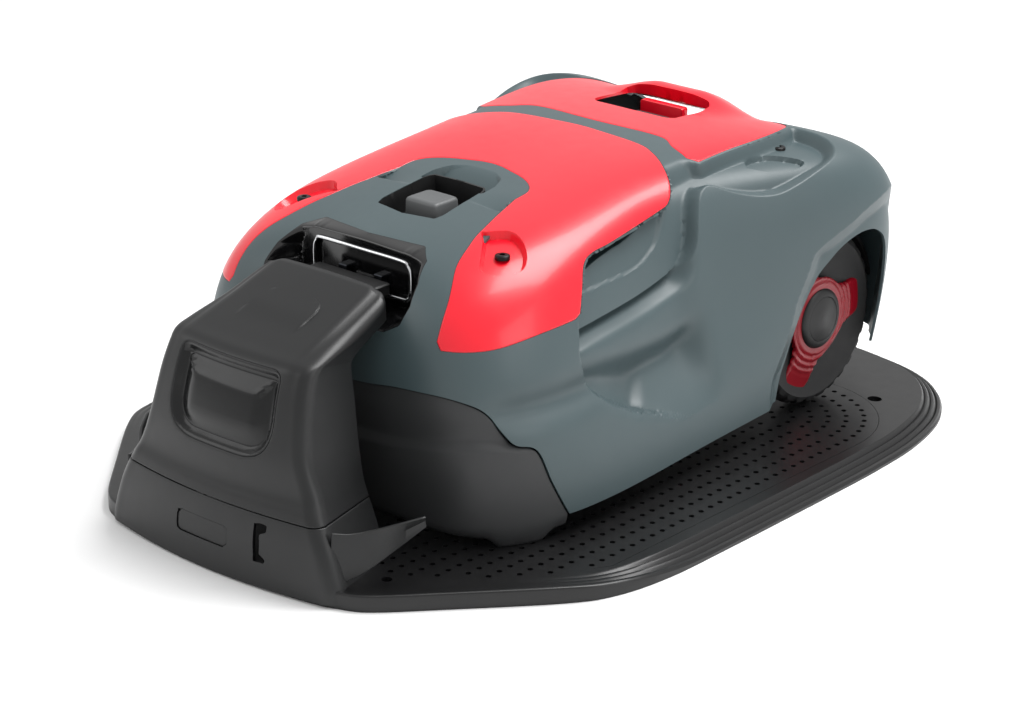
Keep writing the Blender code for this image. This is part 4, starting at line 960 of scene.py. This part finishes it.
def make_buttons():
    """The ribbed catch and the red stop bar in the handle's bay."""
    low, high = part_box("release_catch")

    def catch(bm):
        half, narrow, top, shoulder = BUTTON_HALF, 0.0240, CATCH_TOP, 0.305
        outline = rounded(((-half, low.z, 0.001), (half, low.z, 0.001), (half, shoulder, 0.004),
                           (narrow, top, 0.005), (-narrow, top, 0.005), (-half, shoulder, 0.004)), 4)
        put_prism(bm, outline, 0.2150, high.y - 0.0005, "Y")
        for k in range(7):
            left, right = -0.0165 + 0.0055 * k - RIB_HALF, -0.0165 + 0.0055 * k + RIB_HALF
            rib = ((left, 0.284), (right, 0.284), (right, 0.3100), (left, 0.3100))
            put_prism(bm, rib, 0.2112, 0.2160, "Y")
    solid("release_catch_grip", catch, CHASSIS_GREY, "release_catch", ("release_catch",),
          bevel=0.0009)
    low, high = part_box("stop_bar")

    def bar(bm):
        half, top = BUTTON_HALF, BAR_TOP
        outline = rounded(((-half, low.z, 0.001), (half, low.z, 0.001), (half, top, 0.003),
                           (-half, top, 0.003)), 4)
        put_prism(bm, outline, low.y, high.y, "Y")
    solid("stop_bar_cap", bar, RED, "stop_bar", ("stop_bar",), bevel=0.0012)


def make_liners():
    """The dark inner arches round the drive wheels."""
    for name, side in SIDES:
        low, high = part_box(f"wheel_rim_{name}")
        y, z = (low.y + high.y) / 2, (low.z + high.z) / 2

        def build(bm, side=side, y=y, z=z):
            angles = [math.radians(160 - 148 * step / 48) for step in range(49)]
            outline = [(y + LINER_OUTER * math.cos(a), z + LINER_OUTER * math.sin(a)) for a in angles]
            outline += [(y + LINER_INNER * math.cos(a), z + LINER_INNER * math.sin(a)) for a in reversed(angles)]
            put_prism(bm, outline, *sorted(side * x for x in LINER_X), axis="X")
        solid(f"wheel_liner_{name}_arch", build, DEEP_BLACK, "hood", (f"wheel_liner_{name}",))


def make_screws():
    """Round screws with a hexagon socket, each on its float post."""
    for end in ("front", "rear"):
        for name, side in SIDES:
            node = f"hood_screw_{end}_{name}"
            low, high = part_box(node)
            x, y = (low.x + high.x) / 2, (low.y + high.y) / 2
            top = high.z - SCREW_SUNK[end]

            def build(bm, x=x, y=y, low=low, top=top):
                sections = []
                levels = ((low.z, 0.0028, ROUND), (top - 0.0050, 0.0028, ROUND), (top - 0.0048, 0.0078, ROUND),
                          (top - 0.0014, 0.0078, ROUND), (top - 0.0004, 0.0070, ROUND), (top, 0.0056, ROUND),
                          (top, 0.0034, HEXAGON), (top - 0.0026, 0.0034, HEXAGON))
                for z, radius, sides in levels:
                    ring = []
                    for k in range(48):
                        angle = 2 * math.pi * k / 48
                        reach = radius
                        if sides == HEXAGON:
                            within = (angle + math.pi / 6) % (math.pi / 3) - math.pi / 6
                            reach = radius * math.cos(math.pi / 6) / math.cos(within)
                        ring.append((x + reach * math.cos(angle), y + reach * math.sin(angle), z))
                    sections.append(ring)
                put(bm, *sweep(sections))
            solid(f"hood_screw_{end}_{name}_head", build, SCREW_BLACK, "hood", (node,), sharp=40)


def rounded(corners, steps=6):
    """A closed outline whose corners (u, v, radius) are rounded off."""
    out = []
    count = len(corners)
    for k in range(count):
        here = Vector(corners[k][:2])
        before = Vector(corners[k - 1][:2]) - here
        after = Vector(corners[(k + 1) % count][:2]) - here
        radius = corners[k][2]
        if radius <= 0:
            out.append(tuple(here))
            continue
        half = before.angle(after) / 2
        reach = min(radius / math.tan(half), 0.49 * before.length, 0.49 * after.length)
        start, end = here + before.normalized() * reach, here + after.normalized() * reach
        for step in range(steps + 1):
            t = step / steps
            out.append(tuple(start * (1 - t) ** 2 + here * 2 * t * (1 - t) + end * t * t))
    return out


def mirrored(half):
    """A closed outline symmetric about u = 0, from its half at positive u."""
    return list(half) + [(-u, v) for u, v in reversed(half) if u > 1e-6]


def filled(loops):
    """Points and triangles that fill a flat outline, the first loop, around holes, the others."""
    points, edges = [], []
    for loop in loops:
        start = len(points)
        points.extend(Vector(p) for p in loop)
        edges.extend((start + i, start + (i + 1) % len(loop)) for i in range(len(loop)))
    flat, _, triangles, *_ = delaunay_2d_cdt(points, edges, [], 0, 1e-7)
    flat = np.array(flat)
    triangles = np.array(triangles)
    middle = flat[triangles].mean(1)
    inside = np.zeros(len(middle), bool)
    for i, j in edges:
        a, b = points[i], points[j]
        if a.y == b.y:
            continue
        crosses = (a.y > middle[:, 1]) != (b.y > middle[:, 1])
        inside ^= crosses & (middle[:, 0] < (b.x - a.x) * (middle[:, 1] - a.y) / (b.y - a.y) + a.x)
    triangles = triangles[inside]
    a, b, c = (flat[triangles[:, k]] for k in range(3))
    turn = (b[:, 0] - a[:, 0]) * (c[:, 1] - a[:, 1]) - (b[:, 1] - a[:, 1]) * (c[:, 0] - a[:, 0])
    triangles[turn < 0] = triangles[turn < 0][:, ::-1]
    return flat, triangles, edges


def slab(loops, low, high):
    """A closed flat plate in plan between two heights, with holes. A height may be a function of (x, y)."""
    flat, triangles, edges = filled(loops)
    count = len(flat)

    def level(height):
        values = height(flat[:, 0], flat[:, 1]) if callable(height) else np.full(count, height)
        return np.column_stack([flat, values])

    points = np.vstack([level(high), level(low)])
    walls = []
    used = {(int(t[k]), int(t[(k + 1) % 3])) for t in triangles for k in range(3)}
    for a, b in used:
        if (b, a) not in used:
            walls.append((b, a, a + count))
            walls.append((b, a + count, b + count))
    faces = np.vstack([triangles, triangles[:, ::-1] + count, np.array(walls)])
    return points, faces


def sweep(sections, closed=False):
    """A closed body through sections, which are loops of equally many points. It ends in caps or in itself."""
    sections = [np.asarray(section, float) for section in sections]
    size = len(sections[0])
    points = np.vstack(sections)
    faces = []
    pairs = list(range(len(sections) - 1)) + ([len(sections) - 1] if closed else [])
    for k in pairs:
        low, high = k * size, ((k + 1) % len(sections)) * size
        for i in range(size):
            j = (i + 1) % size
            faces.append((low + i, low + j, high + j, high + i))
    if not closed:
        faces.append(tuple(range(size))[::-1])
        faces.append(tuple((len(sections) - 1) * size + i for i in range(size)))
    return points, faces


HARD_EDGE = 28  # degrees between faces, over which an edge is rounded


def solid(name, build, material, body, replaces=(), sharp=35.0, bevel=0.0):
    """A piece from bmesh code. Its normals are made to point out and its hard edges may be rounded."""
    bm = bmesh.new()
    build(bm)
    bmesh.ops.remove_doubles(bm, verts=bm.verts, dist=1e-6)
    bmesh.ops.recalc_face_normals(bm, faces=bm.faces)
    if bevel:
        hard = math.radians(HARD_EDGE)
        edges = [e for e in bm.edges if len(e.link_faces) == 2 and e.calc_face_angle(0) > hard]
        bmesh.ops.bevel(bm, geom=edges, offset=bevel, segments=2, profile=0.5, affect="EDGES",
                        clamp_overlap=True)
    mesh = bpy.data.meshes.new(name)
    bm.to_mesh(mesh)
    bm.free()
    add_piece(mesh, material, body, replaces, sharp)


def put(bm, points, faces):
    """Adds points and faces to a bmesh."""
    verts = [bm.verts.new(tuple(p)) for p in points]
    for face in faces:
        bm.faces.new([verts[int(i)] for i in face])


def put_prism(bm, outline, low, high, axis="Z"):
    """Adds a straight prism. Its outline (u, v) lies in the plane across the axis."""
    def place(u, v, w):
        return {"Z": (u, v, w), "Y": (u, w, v), "X": (w, u, v)}[axis]
    put(bm, *sweep([[place(u, v, w) for u, v in outline] for w in (low, high)]))


def put_turned(bm, profile, centre, axis="Z", steps=48):
    """Adds a body turned about an axis through centre. The profile is a closed loop of (radius, along)."""
    sections = []
    for step in range(steps):
        angle = 2 * math.pi * step / steps
        ring = []
        for radius, along in profile:
            u, v = radius * math.cos(angle), radius * math.sin(angle)
            offset = {"Z": (u, v, along), "X": (along, u, v), "Y": (u, along, v)}[axis]
            ring.append([c + o for c, o in zip(centre, offset)])
        sections.append(ring)
    put(bm, *sweep(sections, closed=True))


# ---- charging station ----------------------------------------------------------------------------
# The tower from the foot's front over the arm to its tip. Each row: front y, z and half width, back y, z
# and half width, corner radius, bow of the front, slope of the shoulders.
TOWER_ROWS = (
    (-0.4630, 0.0015, 0.1640, -0.350, 0.0180, 0.1400, 0.020, 0.018, 0.000),
    (-0.4625, 0.0200, 0.1600, -0.350, 0.0220, 0.1390, 0.018, 0.017, 0.000),
    (-0.4590, 0.0560, 0.1470, -0.350, 0.0550, 0.1270, 0.016, 0.015, 0.000),
    (-0.4535, 0.0830, 0.1330, -0.350, 0.0850, 0.1140, 0.015, 0.013, 0.000),
    (-0.4480, 0.1000, 0.1240, -0.350, 0.1020, 0.1090, 0.014, 0.012, 0.000),
    (-0.4450, 0.1350, 0.1100, -0.348, 0.1350, 0.1020, 0.013, 0.011, 0.000),
    (-0.4350, 0.1800, 0.1030, -0.346, 0.1750, 0.0960, 0.013, 0.011, 0.000),
    (-0.4250, 0.2080, 0.0990, -0.345, 0.1980, 0.0920, 0.013, 0.010, 0.001),
    (-0.4150, 0.2200, 0.0975, -0.344, 0.2080, 0.0910, 0.013, 0.006, 0.003),
    (-0.3950, 0.2275, 0.0960, -0.340, 0.2130, 0.0905, 0.013, 0.003, 0.005),
    (-0.3450, 0.2460, 0.0915, -0.325, 0.2200, 0.0880, 0.012, 0.002, 0.006),
    (-0.2990, 0.2635, 0.0870, -0.292, 0.2340, 0.0850, 0.011, 0.002, 0.006),
    (-0.2880, 0.2670, 0.0820, -0.284, 0.2360, 0.0805, 0.009, 0.002, 0.005),
    (-0.2822, 0.2660, 0.0760, -0.2815, 0.2375, 0.0750, 0.006, 0.002, 0.003),
    (-0.2812, 0.2600, 0.0700, -0.2812, 0.2390, 0.0700, 0.003, 0.002, 0.000),
)
WINDOW = rounded(((-0.0695, 0.2150, 0.012), (0.0695, 0.2150, 0.012), (0.0745, 0.1265, 0.046),
                  (-0.0745, 0.1265, 0.046)), 10)
EMBLEM_PAD = rounded(((0.041, -0.385, 0.006), (0.041, -0.325, 0.022), (-0.041, -0.325, 0.022),
                      (-0.041, -0.385, 0.006)), 8)
CABLE_FLAP = rounded(((-0.044, 0.031, 0.003), (0.029, 0.031, 0.003), (0.029, 0.0535, 0.003),
                      (-0.044, 0.0535, 0.003)), 3)
CORD_SLOT = ((0.063, 0.028), (0.079, 0.028), (0.079, 0.034), (0.0715, 0.036), (0.0715, 0.058), (0.079, 0.060),
             (0.079, 0.068), (0.063, 0.068))
SEAM_Z, SEAM_GAP, SEAM_ROUND = 0.0763, 0.0003, 0.0012  # between housing and foot
PAD_RISE = 0.0018
WING_FIN = 0.0032
ROW_STEPS = 9


def tower_grid():
    """Points of the tower's outer surface, along its height and across from right to left."""
    rows = smooth_line(np.array(TOWER_ROWS), ROW_STEPS)
    across = []
    for y0, z0, half, y1, z1, half_back, radius, bow, slope in rows:
        front = np.array([0.0, y0, z0])
        inward = np.array([0.0, y1 - y0, z1 - z0])
        length = np.linalg.norm(inward)
        inward = inward / max(length, 1e-9)
        radius = min(radius, 0.45 * length + 1e-4)
        side = []
        for step in range(19):
            x = (half - radius) * step / 18
            shoulder = max(0.0, min(1.0, (x / half - 0.76) / 0.16))
            side.append((x, bow * (x / half) ** 2 + slope * shoulder * shoulder * (3 - 2 * shoulder)))
        sunk = side[-1][1]
        for step in range(1, 8):
            angle = math.pi / 2 * step / 7
            side.append((half - radius + radius * math.sin(angle), sunk + radius * (1 - math.cos(angle))))
        start = side[-1][1]
        for step in range(1, 11):
            t = step / 10
            side.append((half + (half_back - half) * t, start + (max(length, start + 1e-4) - start) * t))
        line = [front + inward * b + np.array([x, 0, 0]) for x, b in side]
        other = [p * MIRROR for p in line[1:]]
        across.append(other[::-1] + line)
    return np.array(across)


def edge_of(skin, name, gap, radius):
    """Cuts to where the field is over gap, and returns the drop of a rounded edge there."""
    skin.cut(name, gap, gap + 0.15 * radius, gap + 0.5 * radius, gap + radius)
    return fillet(skin.fields[name] - gap, radius)


def show_station(name, skin, wall, node):
    """Shows a closed shell of the station in its black plastic."""
    show(name, *skin.body(wall), STATION_BLACK, "station", "moulded_black_station", (node,))


def station_parts():
    """The tower's housing, window, foot and cable cover, cut from one surface, and the wings."""
    grid = tower_grid()
    x, y, z = np.moveaxis(grid, -1, 0)
    row = np.arange(len(grid))[:, None] / ROW_STEPS + 0 * x
    in_foot = (row < 4) & (y < -0.41)
    on_front = (row < 9.2) & (y < -0.40)
    base = grid_skin(grid, {
        "seam": z - SEAM_Z,
        "window": np.where(on_front, on_surface(loop_distance(x, z, WINDOW), grid), OUTSIDE),
        "pad": np.where(row > 8.5, loop_distance(x, y, EMBLEM_PAD), OUTSIDE),
        "flap": np.where(in_foot, loop_distance(x, z, CABLE_FLAP), OUTSIDE),
        "slot": np.where(in_foot, loop_distance(x, z, CORD_SLOT), OUTSIDE),
        "y": y,
    })
    if (base.n * (base.p - np.array([0.0, -0.375, 0.13]))).sum() < 0:
        base.n *= -1
        base.f = base.f[:, ::-1]

    housing = base.copy()
    housing.split("pad", -0.0005, 0.0, 0.0008)
    housing.fields["drop"] = edge_of(housing, "seam", SEAM_GAP, SEAM_ROUND)
    housing.fields["window"] = -housing.fields["window"]
    rim = edge_of(housing, "window", 0.0002, 0.0016)
    f = housing.fields
    raised = PAD_RISE * ramp(f["pad"], -0.0005, 0.0008) * ramp(f["y"], -0.375, -0.345)
    housing.push(raised - f["drop"] - rim).renormal()
    show_station("tower_housing_skin", housing, 0.003, "tower_housing")

    window = base.copy()
    window.cut("window", -0.0001, 0.0012, 0.003, 0.006, 0.009, 0.011, 0.013)
    d = window.fields["window"]
    dish = -0.0006 - 0.0062 * ramp(d, 0.0004, 0.0085) + 0.0050 * ramp(d, 0.0088, 0.030)
    dish = dish - 0.0005 * ramp(d, 0.0085, 0.0092)
    window.push(dish).renormal()
    show("status_window_skin", *window.body(0.0025), SMOKED, "station", "smoked_window", ("status_window",), 50)

    foot = base.copy()
    foot.fields["seam"] = -foot.fields["seam"]
    foot.fields["drop"] = edge_of(foot, "seam", SEAM_GAP, SEAM_ROUND)
    foot.cut_away("flap", 0.0002)
    foot.cut_away("slot", 0.0)
    foot.push(-foot.fields["drop"]).renormal()
    show_station("station_foot_skin", foot, 0.004, "station_foot")

    flap = base.copy()
    sink = edge_of(flap, "flap", 0.0002, 0.0008)
    flap.push(-0.0010 - sink).renormal()
    show_station("cable_cover_skin", flap, 0.0025, "cable_cover")

    for name, side in SIDES:
        make_wing(name, side)


def make_wing(name, side):
    """The guide fin that flares out and up from a corner of the foot."""
    lower = smooth_line(((0.1480, -0.4360, 0.0185), (0.1580, -0.4180, 0.0240), (0.1680, -0.4000, 0.0330),
                         (0.1810, -0.3730, 0.0510), (0.1960, -0.3520, 0.0700)), 6)
    upper = smooth_line(((0.1440, -0.4300, 0.0720), (0.1540, -0.4140, 0.0690), (0.1650, -0.3970, 0.0705),
                         (0.1820, -0.3800, 0.0765), (0.1990, -0.3560, 0.0820)), 6)
    sections = []
    for low, high in zip(lower, upper):
        up = high - low
        out = np.cross(up, (lower[-1] - lower[0]) * (1, 1, 0))
        out = -out / np.linalg.norm(out) * WING_FIN * (1 if out[0] < 0 else -1)
        bulge = -out * 0.9
        middle = (low + high) / 2
        ring = [low, middle + bulge, high, high + out * 0.5 + up * 0.012, high + out, middle + bulge + out,
                low + out, low + out * 0.5 - up * 0.012]
        sections.append([p * np.array([side, 1, 1]) for p in ring])

    def build(bm):
        put(bm, *sweep(sections))
    solid(f"station_wing_{name}", build, STATION_BLACK, "station", (), 50, 0.0006)


# ---- base plate ----------------------------------------------------------------------------------
# Half of the plate's outline in plan, from the front middle to the rear middle.
PLATE_OUTLINE = ((0.0, -0.4590), (0.060, -0.4570), (0.130, -0.4480), (0.160, -0.4400), (0.190, -0.4240),
                 (0.239, -0.3720), (0.316, -0.2850), (0.343, -0.2380), (0.3555, -0.1720), (0.3573, -0.0800),
                 (0.3565, 0.0870), (0.3540, 0.1900), (0.3460, 0.2700), (0.3240, 0.3450), (0.2820, 0.4040),
                 (0.2230, 0.4400), (0.1400, 0.4560), (0.0500, 0.4592), (0.0, 0.4594))
PLATE_TOP = 0.0172
GRID_END = (0.195, 0.195)  # centre of the round end of the perforated field
GRID_R = 0.108
GRID_PITCH = (0.0195, 0.0157)
GRID_HOLE_R = 0.0032
GRID_LANES = 6
FIELD_MARGIN = 0.0165
INSETS = (0.0, 0.0004, 0.0010, 0.0022, 0.0050, 0.0057, 0.0063, 0.0069, 0.0085, 0.0100, 0.0122, 0.0128,
          0.0134, 0.0150, 0.0165, 0.0187, 0.0193, 0.0199, 0.0215, 0.0230, 0.0245)
TERRACES = ((0.0075, 0.0034), (0.0140, 0.0034), (0.0205, 0.0038))  # inset and rise of each
# Holes for the ground pegs at the rear and in front: x, y, half width, half length, steps.
PEG_HOLES = ((0.257, 0.314, 0.0085, 0.0075, 20), (0.175, -0.386, 0.0055, 0.0055, 16))


def plate_height(y, inset):
    """The plate's top: terraces towards the rim at the sides and rear, a plain rounded rim in front."""
    terraces = 0.0040 * ramp(inset, 0.0, 0.003) + 0.0026
    for place, rise in TERRACES:
        terraces = terraces + rise * ramp(inset, place - 0.0006, place + 0.0022)
        terraces = terraces - 0.0016 * np.exp(-((inset - place + 0.0012) / 0.0007) ** 2)
    plain = PLATE_TOP - fillet(inset, 0.0022)
    share = ramp(y, -0.30, -0.10)
    return plain * (1 - share) + terraces * share


def make_base_plate():
    """The plate with its terraced rim and peg holes, and the two perforated fields set into it."""
    half = smooth_line(PLATE_OUTLINE, 7)
    outline = np.vstack([half, (half * (-1, 1))[::-1][1:-1]])
    before, after = np.roll(outline, 1, 0), np.roll(outline, -1, 0)
    along = after - before
    inward = np.column_stack([-along[:, 1], along[:, 0]])
    inward /= np.linalg.norm(inward, axis=1)[:, None]
    rings = [np.column_stack([outline, np.full(len(outline), 0.0)])]
    for inset in INSETS:
        flat = outline + inward * inset
        rings.append(np.column_stack([flat, plate_height(flat[:, 1], inset)]))
    inner = rings[-1][:, :2]
    holes = []
    for side in (-1, 1):
        holes.append(grid_outline(side, FIELD_MARGIN))
        for x, y, half_x, half_y, steps in PEG_HOLES:
            angles = ring_angles(steps)
            holes.append([(side * x + half_x * math.cos(a), y + half_y * math.sin(a)) for a in angles])
    flat, triangles, _ = filled([inner] + holes)
    size = len(outline)
    count = (len(rings) - 1) * size
    top_z = rings[-1][:, 2]
    level = np.concatenate([top_z, np.full(len(flat) - size, PLATE_TOP)])
    top = np.column_stack([flat, level])
    points = np.vstack(rings[:-1] + [top])
    faces = []
    for k in range(len(rings) - 1):
        low, high = k * size, (k + 1) * size
        faces.extend((low + i, low + (i + 1) % size, high + (i + 1) % size, high + i) for i in range(size))
    faces.extend(tuple(t + count) for t in triangles)
    bottom_start = len(points)
    bottom = np.column_stack([np.vstack([outline + inward * 0.0015, flat[size:]]), np.full(len(flat), 0.0)])
    flat_bottom, low_triangles, _ = filled([bottom[:size, :2]] + holes)
    points = np.vstack([points, np.column_stack([flat_bottom, np.zeros(len(flat_bottom))])])
    faces.extend(tuple(t[::-1] + bottom_start) for t in low_triangles)
    faces.extend(((i + 1) % size, i, bottom_start + i, bottom_start + (i + 1) % size) for i in range(size))
    start = size
    for hole in holes:
        n = len(hole)
        for i in range(n):
            j = (i + 1) % n
            top_i, top_j = count + start + i, count + start + j
            faces.append((top_i, top_j, bottom_start + start + j, bottom_start + start + i))
        start += n

    def build(bm):
        put(bm, points, faces)
    solid("base_plate_body", build, PLATE_BLACK, "station", ("base_plate",), sharp=32)
    for name, side in SIDES:
        outer = grid_outline(side, 0.0160)
        loops = [outer] + [
            [(x + GRID_HOLE_R * math.cos(a), y + GRID_HOLE_R * math.sin(a)) for a in ring_angles(8)]
            for x, y in grid_holes(side)
        ]
        show(f"plate_grid_{name}", *slab(loops, 0.0130, PLATE_TOP), PLATE_BLACK, "station", "plate_black")
        under = grid_outline(side, 0.0155)
        show(f"plate_tray_{name}", *slab([under], 0.0020, 0.0050), DEEP_BLACK, "station", "plate_black")


def ring_angles(count):
    return [2 * math.pi * k / count for k in range(count)]


def grid_outline(side, margin):
    """The outline of one perforated field in plan, with a margin round its outer holes."""
    x0, y0 = GRID_END
    radius = GRID_R + margin
    points = [(x0 + radius * math.cos(a), y0 + radius * math.sin(a)) for a in np.linspace(0, math.pi, 25)]
    points += [(x0 - radius, -0.320), (x0 - radius + 0.02, -0.372), (0.186, -0.372), (0.236, -0.328),
               (0.300, -0.252), (x0 + radius, -0.215)]
    points = [(side * x, y) for x, y in points]
    return points if side > 0 else points[::-1]


def grid_holes(side):
    """Middles of the holes: straight columns that run into concentric rings at the rear."""
    x0, y0 = GRID_END
    fence = np.array(grid_outline(1, 0.004))
    found = []
    for lane in range(GRID_LANES):
        radius = GRID_R - lane * GRID_PITCH[0]
        steps = max(2, round(math.pi * radius / GRID_PITCH[1]))
        for k in range(steps + 1):
            angle = math.pi * k / steps
            found.append((x0 + radius * math.cos(angle), y0 + radius * math.sin(angle)))
        for end in (-1, 1):
            for k in range(1, 40):
                found.append((x0 + end * radius, y0 - (k + 0.5 * (lane % 2)) * GRID_PITCH[1]))
    spots = np.array(found)
    keep = loop_distance(spots[:, 0], spots[:, 1], fence) > 0
    return [(side * x, y) for x, y in spots[keep]]


# ---- CAD nodes that stay -------------------------------------------------------------------------
NODE_LOOKS = (
    ("chassis", CHASSIS_GREY), ("caster_arm", CHASSIS_GREY), ("caster_fork", CHASSIS_GREY),
    ("caster_wheel", RUBBER), ("deck_carrier", CHASSIS_GREY), ("cutting_motor", STEEL), ("blade", STEEL),
    ("skid_plate", CHASSIS_GREY), ("battery", BATTERY_BLUE), ("board", BOARD_GREEN), ("drive_motor", STEEL),
    ("charge_strip", DARK_STEEL), ("station_contact", DARK_STEEL), ("contact_block", DEEP_BLACK),
    ("float_post", RUBBER), ("handle_tray", DEEP_BLACK),
    ("status_light", LIGHT_WHITE), ("rear_cover", STATION_BLACK),
)


def paint_cad_nodes():
    """Gives each CAD node that stays in sight a material of its own."""
    for name, node in NODES.items():
        looks = [material for word, material in NODE_LOOKS if word in name]
        look = looks[0] if looks else CHASSIS_GREY
        node.data.materials.clear()
        node.data.materials.append(look)


# ---- floor and lights ----------------------------------------------------------------------------
LAMPS = (  # name, place, size, power
    ("overhead", (0.7, 0.9, 2.4), 1.6, 76.0),
    ("front", (-1.8, -2.0, 1.6), 1.6, 12.0),
    ("side", (2.6, 0.2, 1.2), 1.2, 9.0),
)
SKY_STRENGTH = 0.75
FLOOR_HALF, FLOOR_Z = 6, -0.0003


def make_stage():
    """A plain pale floor, an even sky and three soft lamps."""
    mesh = bpy.data.meshes.new("floor")
    corners = ((-1, -1), (1, -1), (1, 1), (-1, 1))
    mesh.from_pydata([(x * FLOOR_HALF, y * FLOOR_HALF, 0) for x, y in corners], [], [(0, 1, 2, 3)])
    floor = bpy.data.objects.new("floor", mesh)
    floor.location.z = FLOOR_Z
    bpy.context.scene.collection.objects.link(floor)
    paint = plastic("floor_paint", (246, 246, 246), rough=0.8, mottle=0.005, grain=60.0, bump=0.0)
    mesh.materials.append(paint)
    bpy.context.scene.view_settings.view_transform = "Standard"
    world = bpy.data.worlds.new("studio")
    world.use_nodes = True
    sky = world.node_tree.nodes["Background"]
    sky.inputs["Color"].default_value = (1, 1, 1, 1)
    sky.inputs["Strength"].default_value = SKY_STRENGTH
    bpy.context.scene.world = world
    for name, place, size, power in LAMPS:
        data = bpy.data.lights.new(name, "AREA")
        data.energy = power
        data.size = size
        lamp = bpy.data.objects.new(name, data)
        lamp.location = place
        aim = Vector((0, 0, 0.15)) - Vector(place)
        lamp.rotation_euler = aim.to_track_quat("-Z", "Y").to_euler()
        bpy.context.scene.collection.objects.link(lamp)


make_camera()
hood_parts()
make_knob()
make_wheels()
make_buttons()
make_liners()
make_screws()
station_parts()
make_base_plate()
paint_cad_nodes()
make_stage()
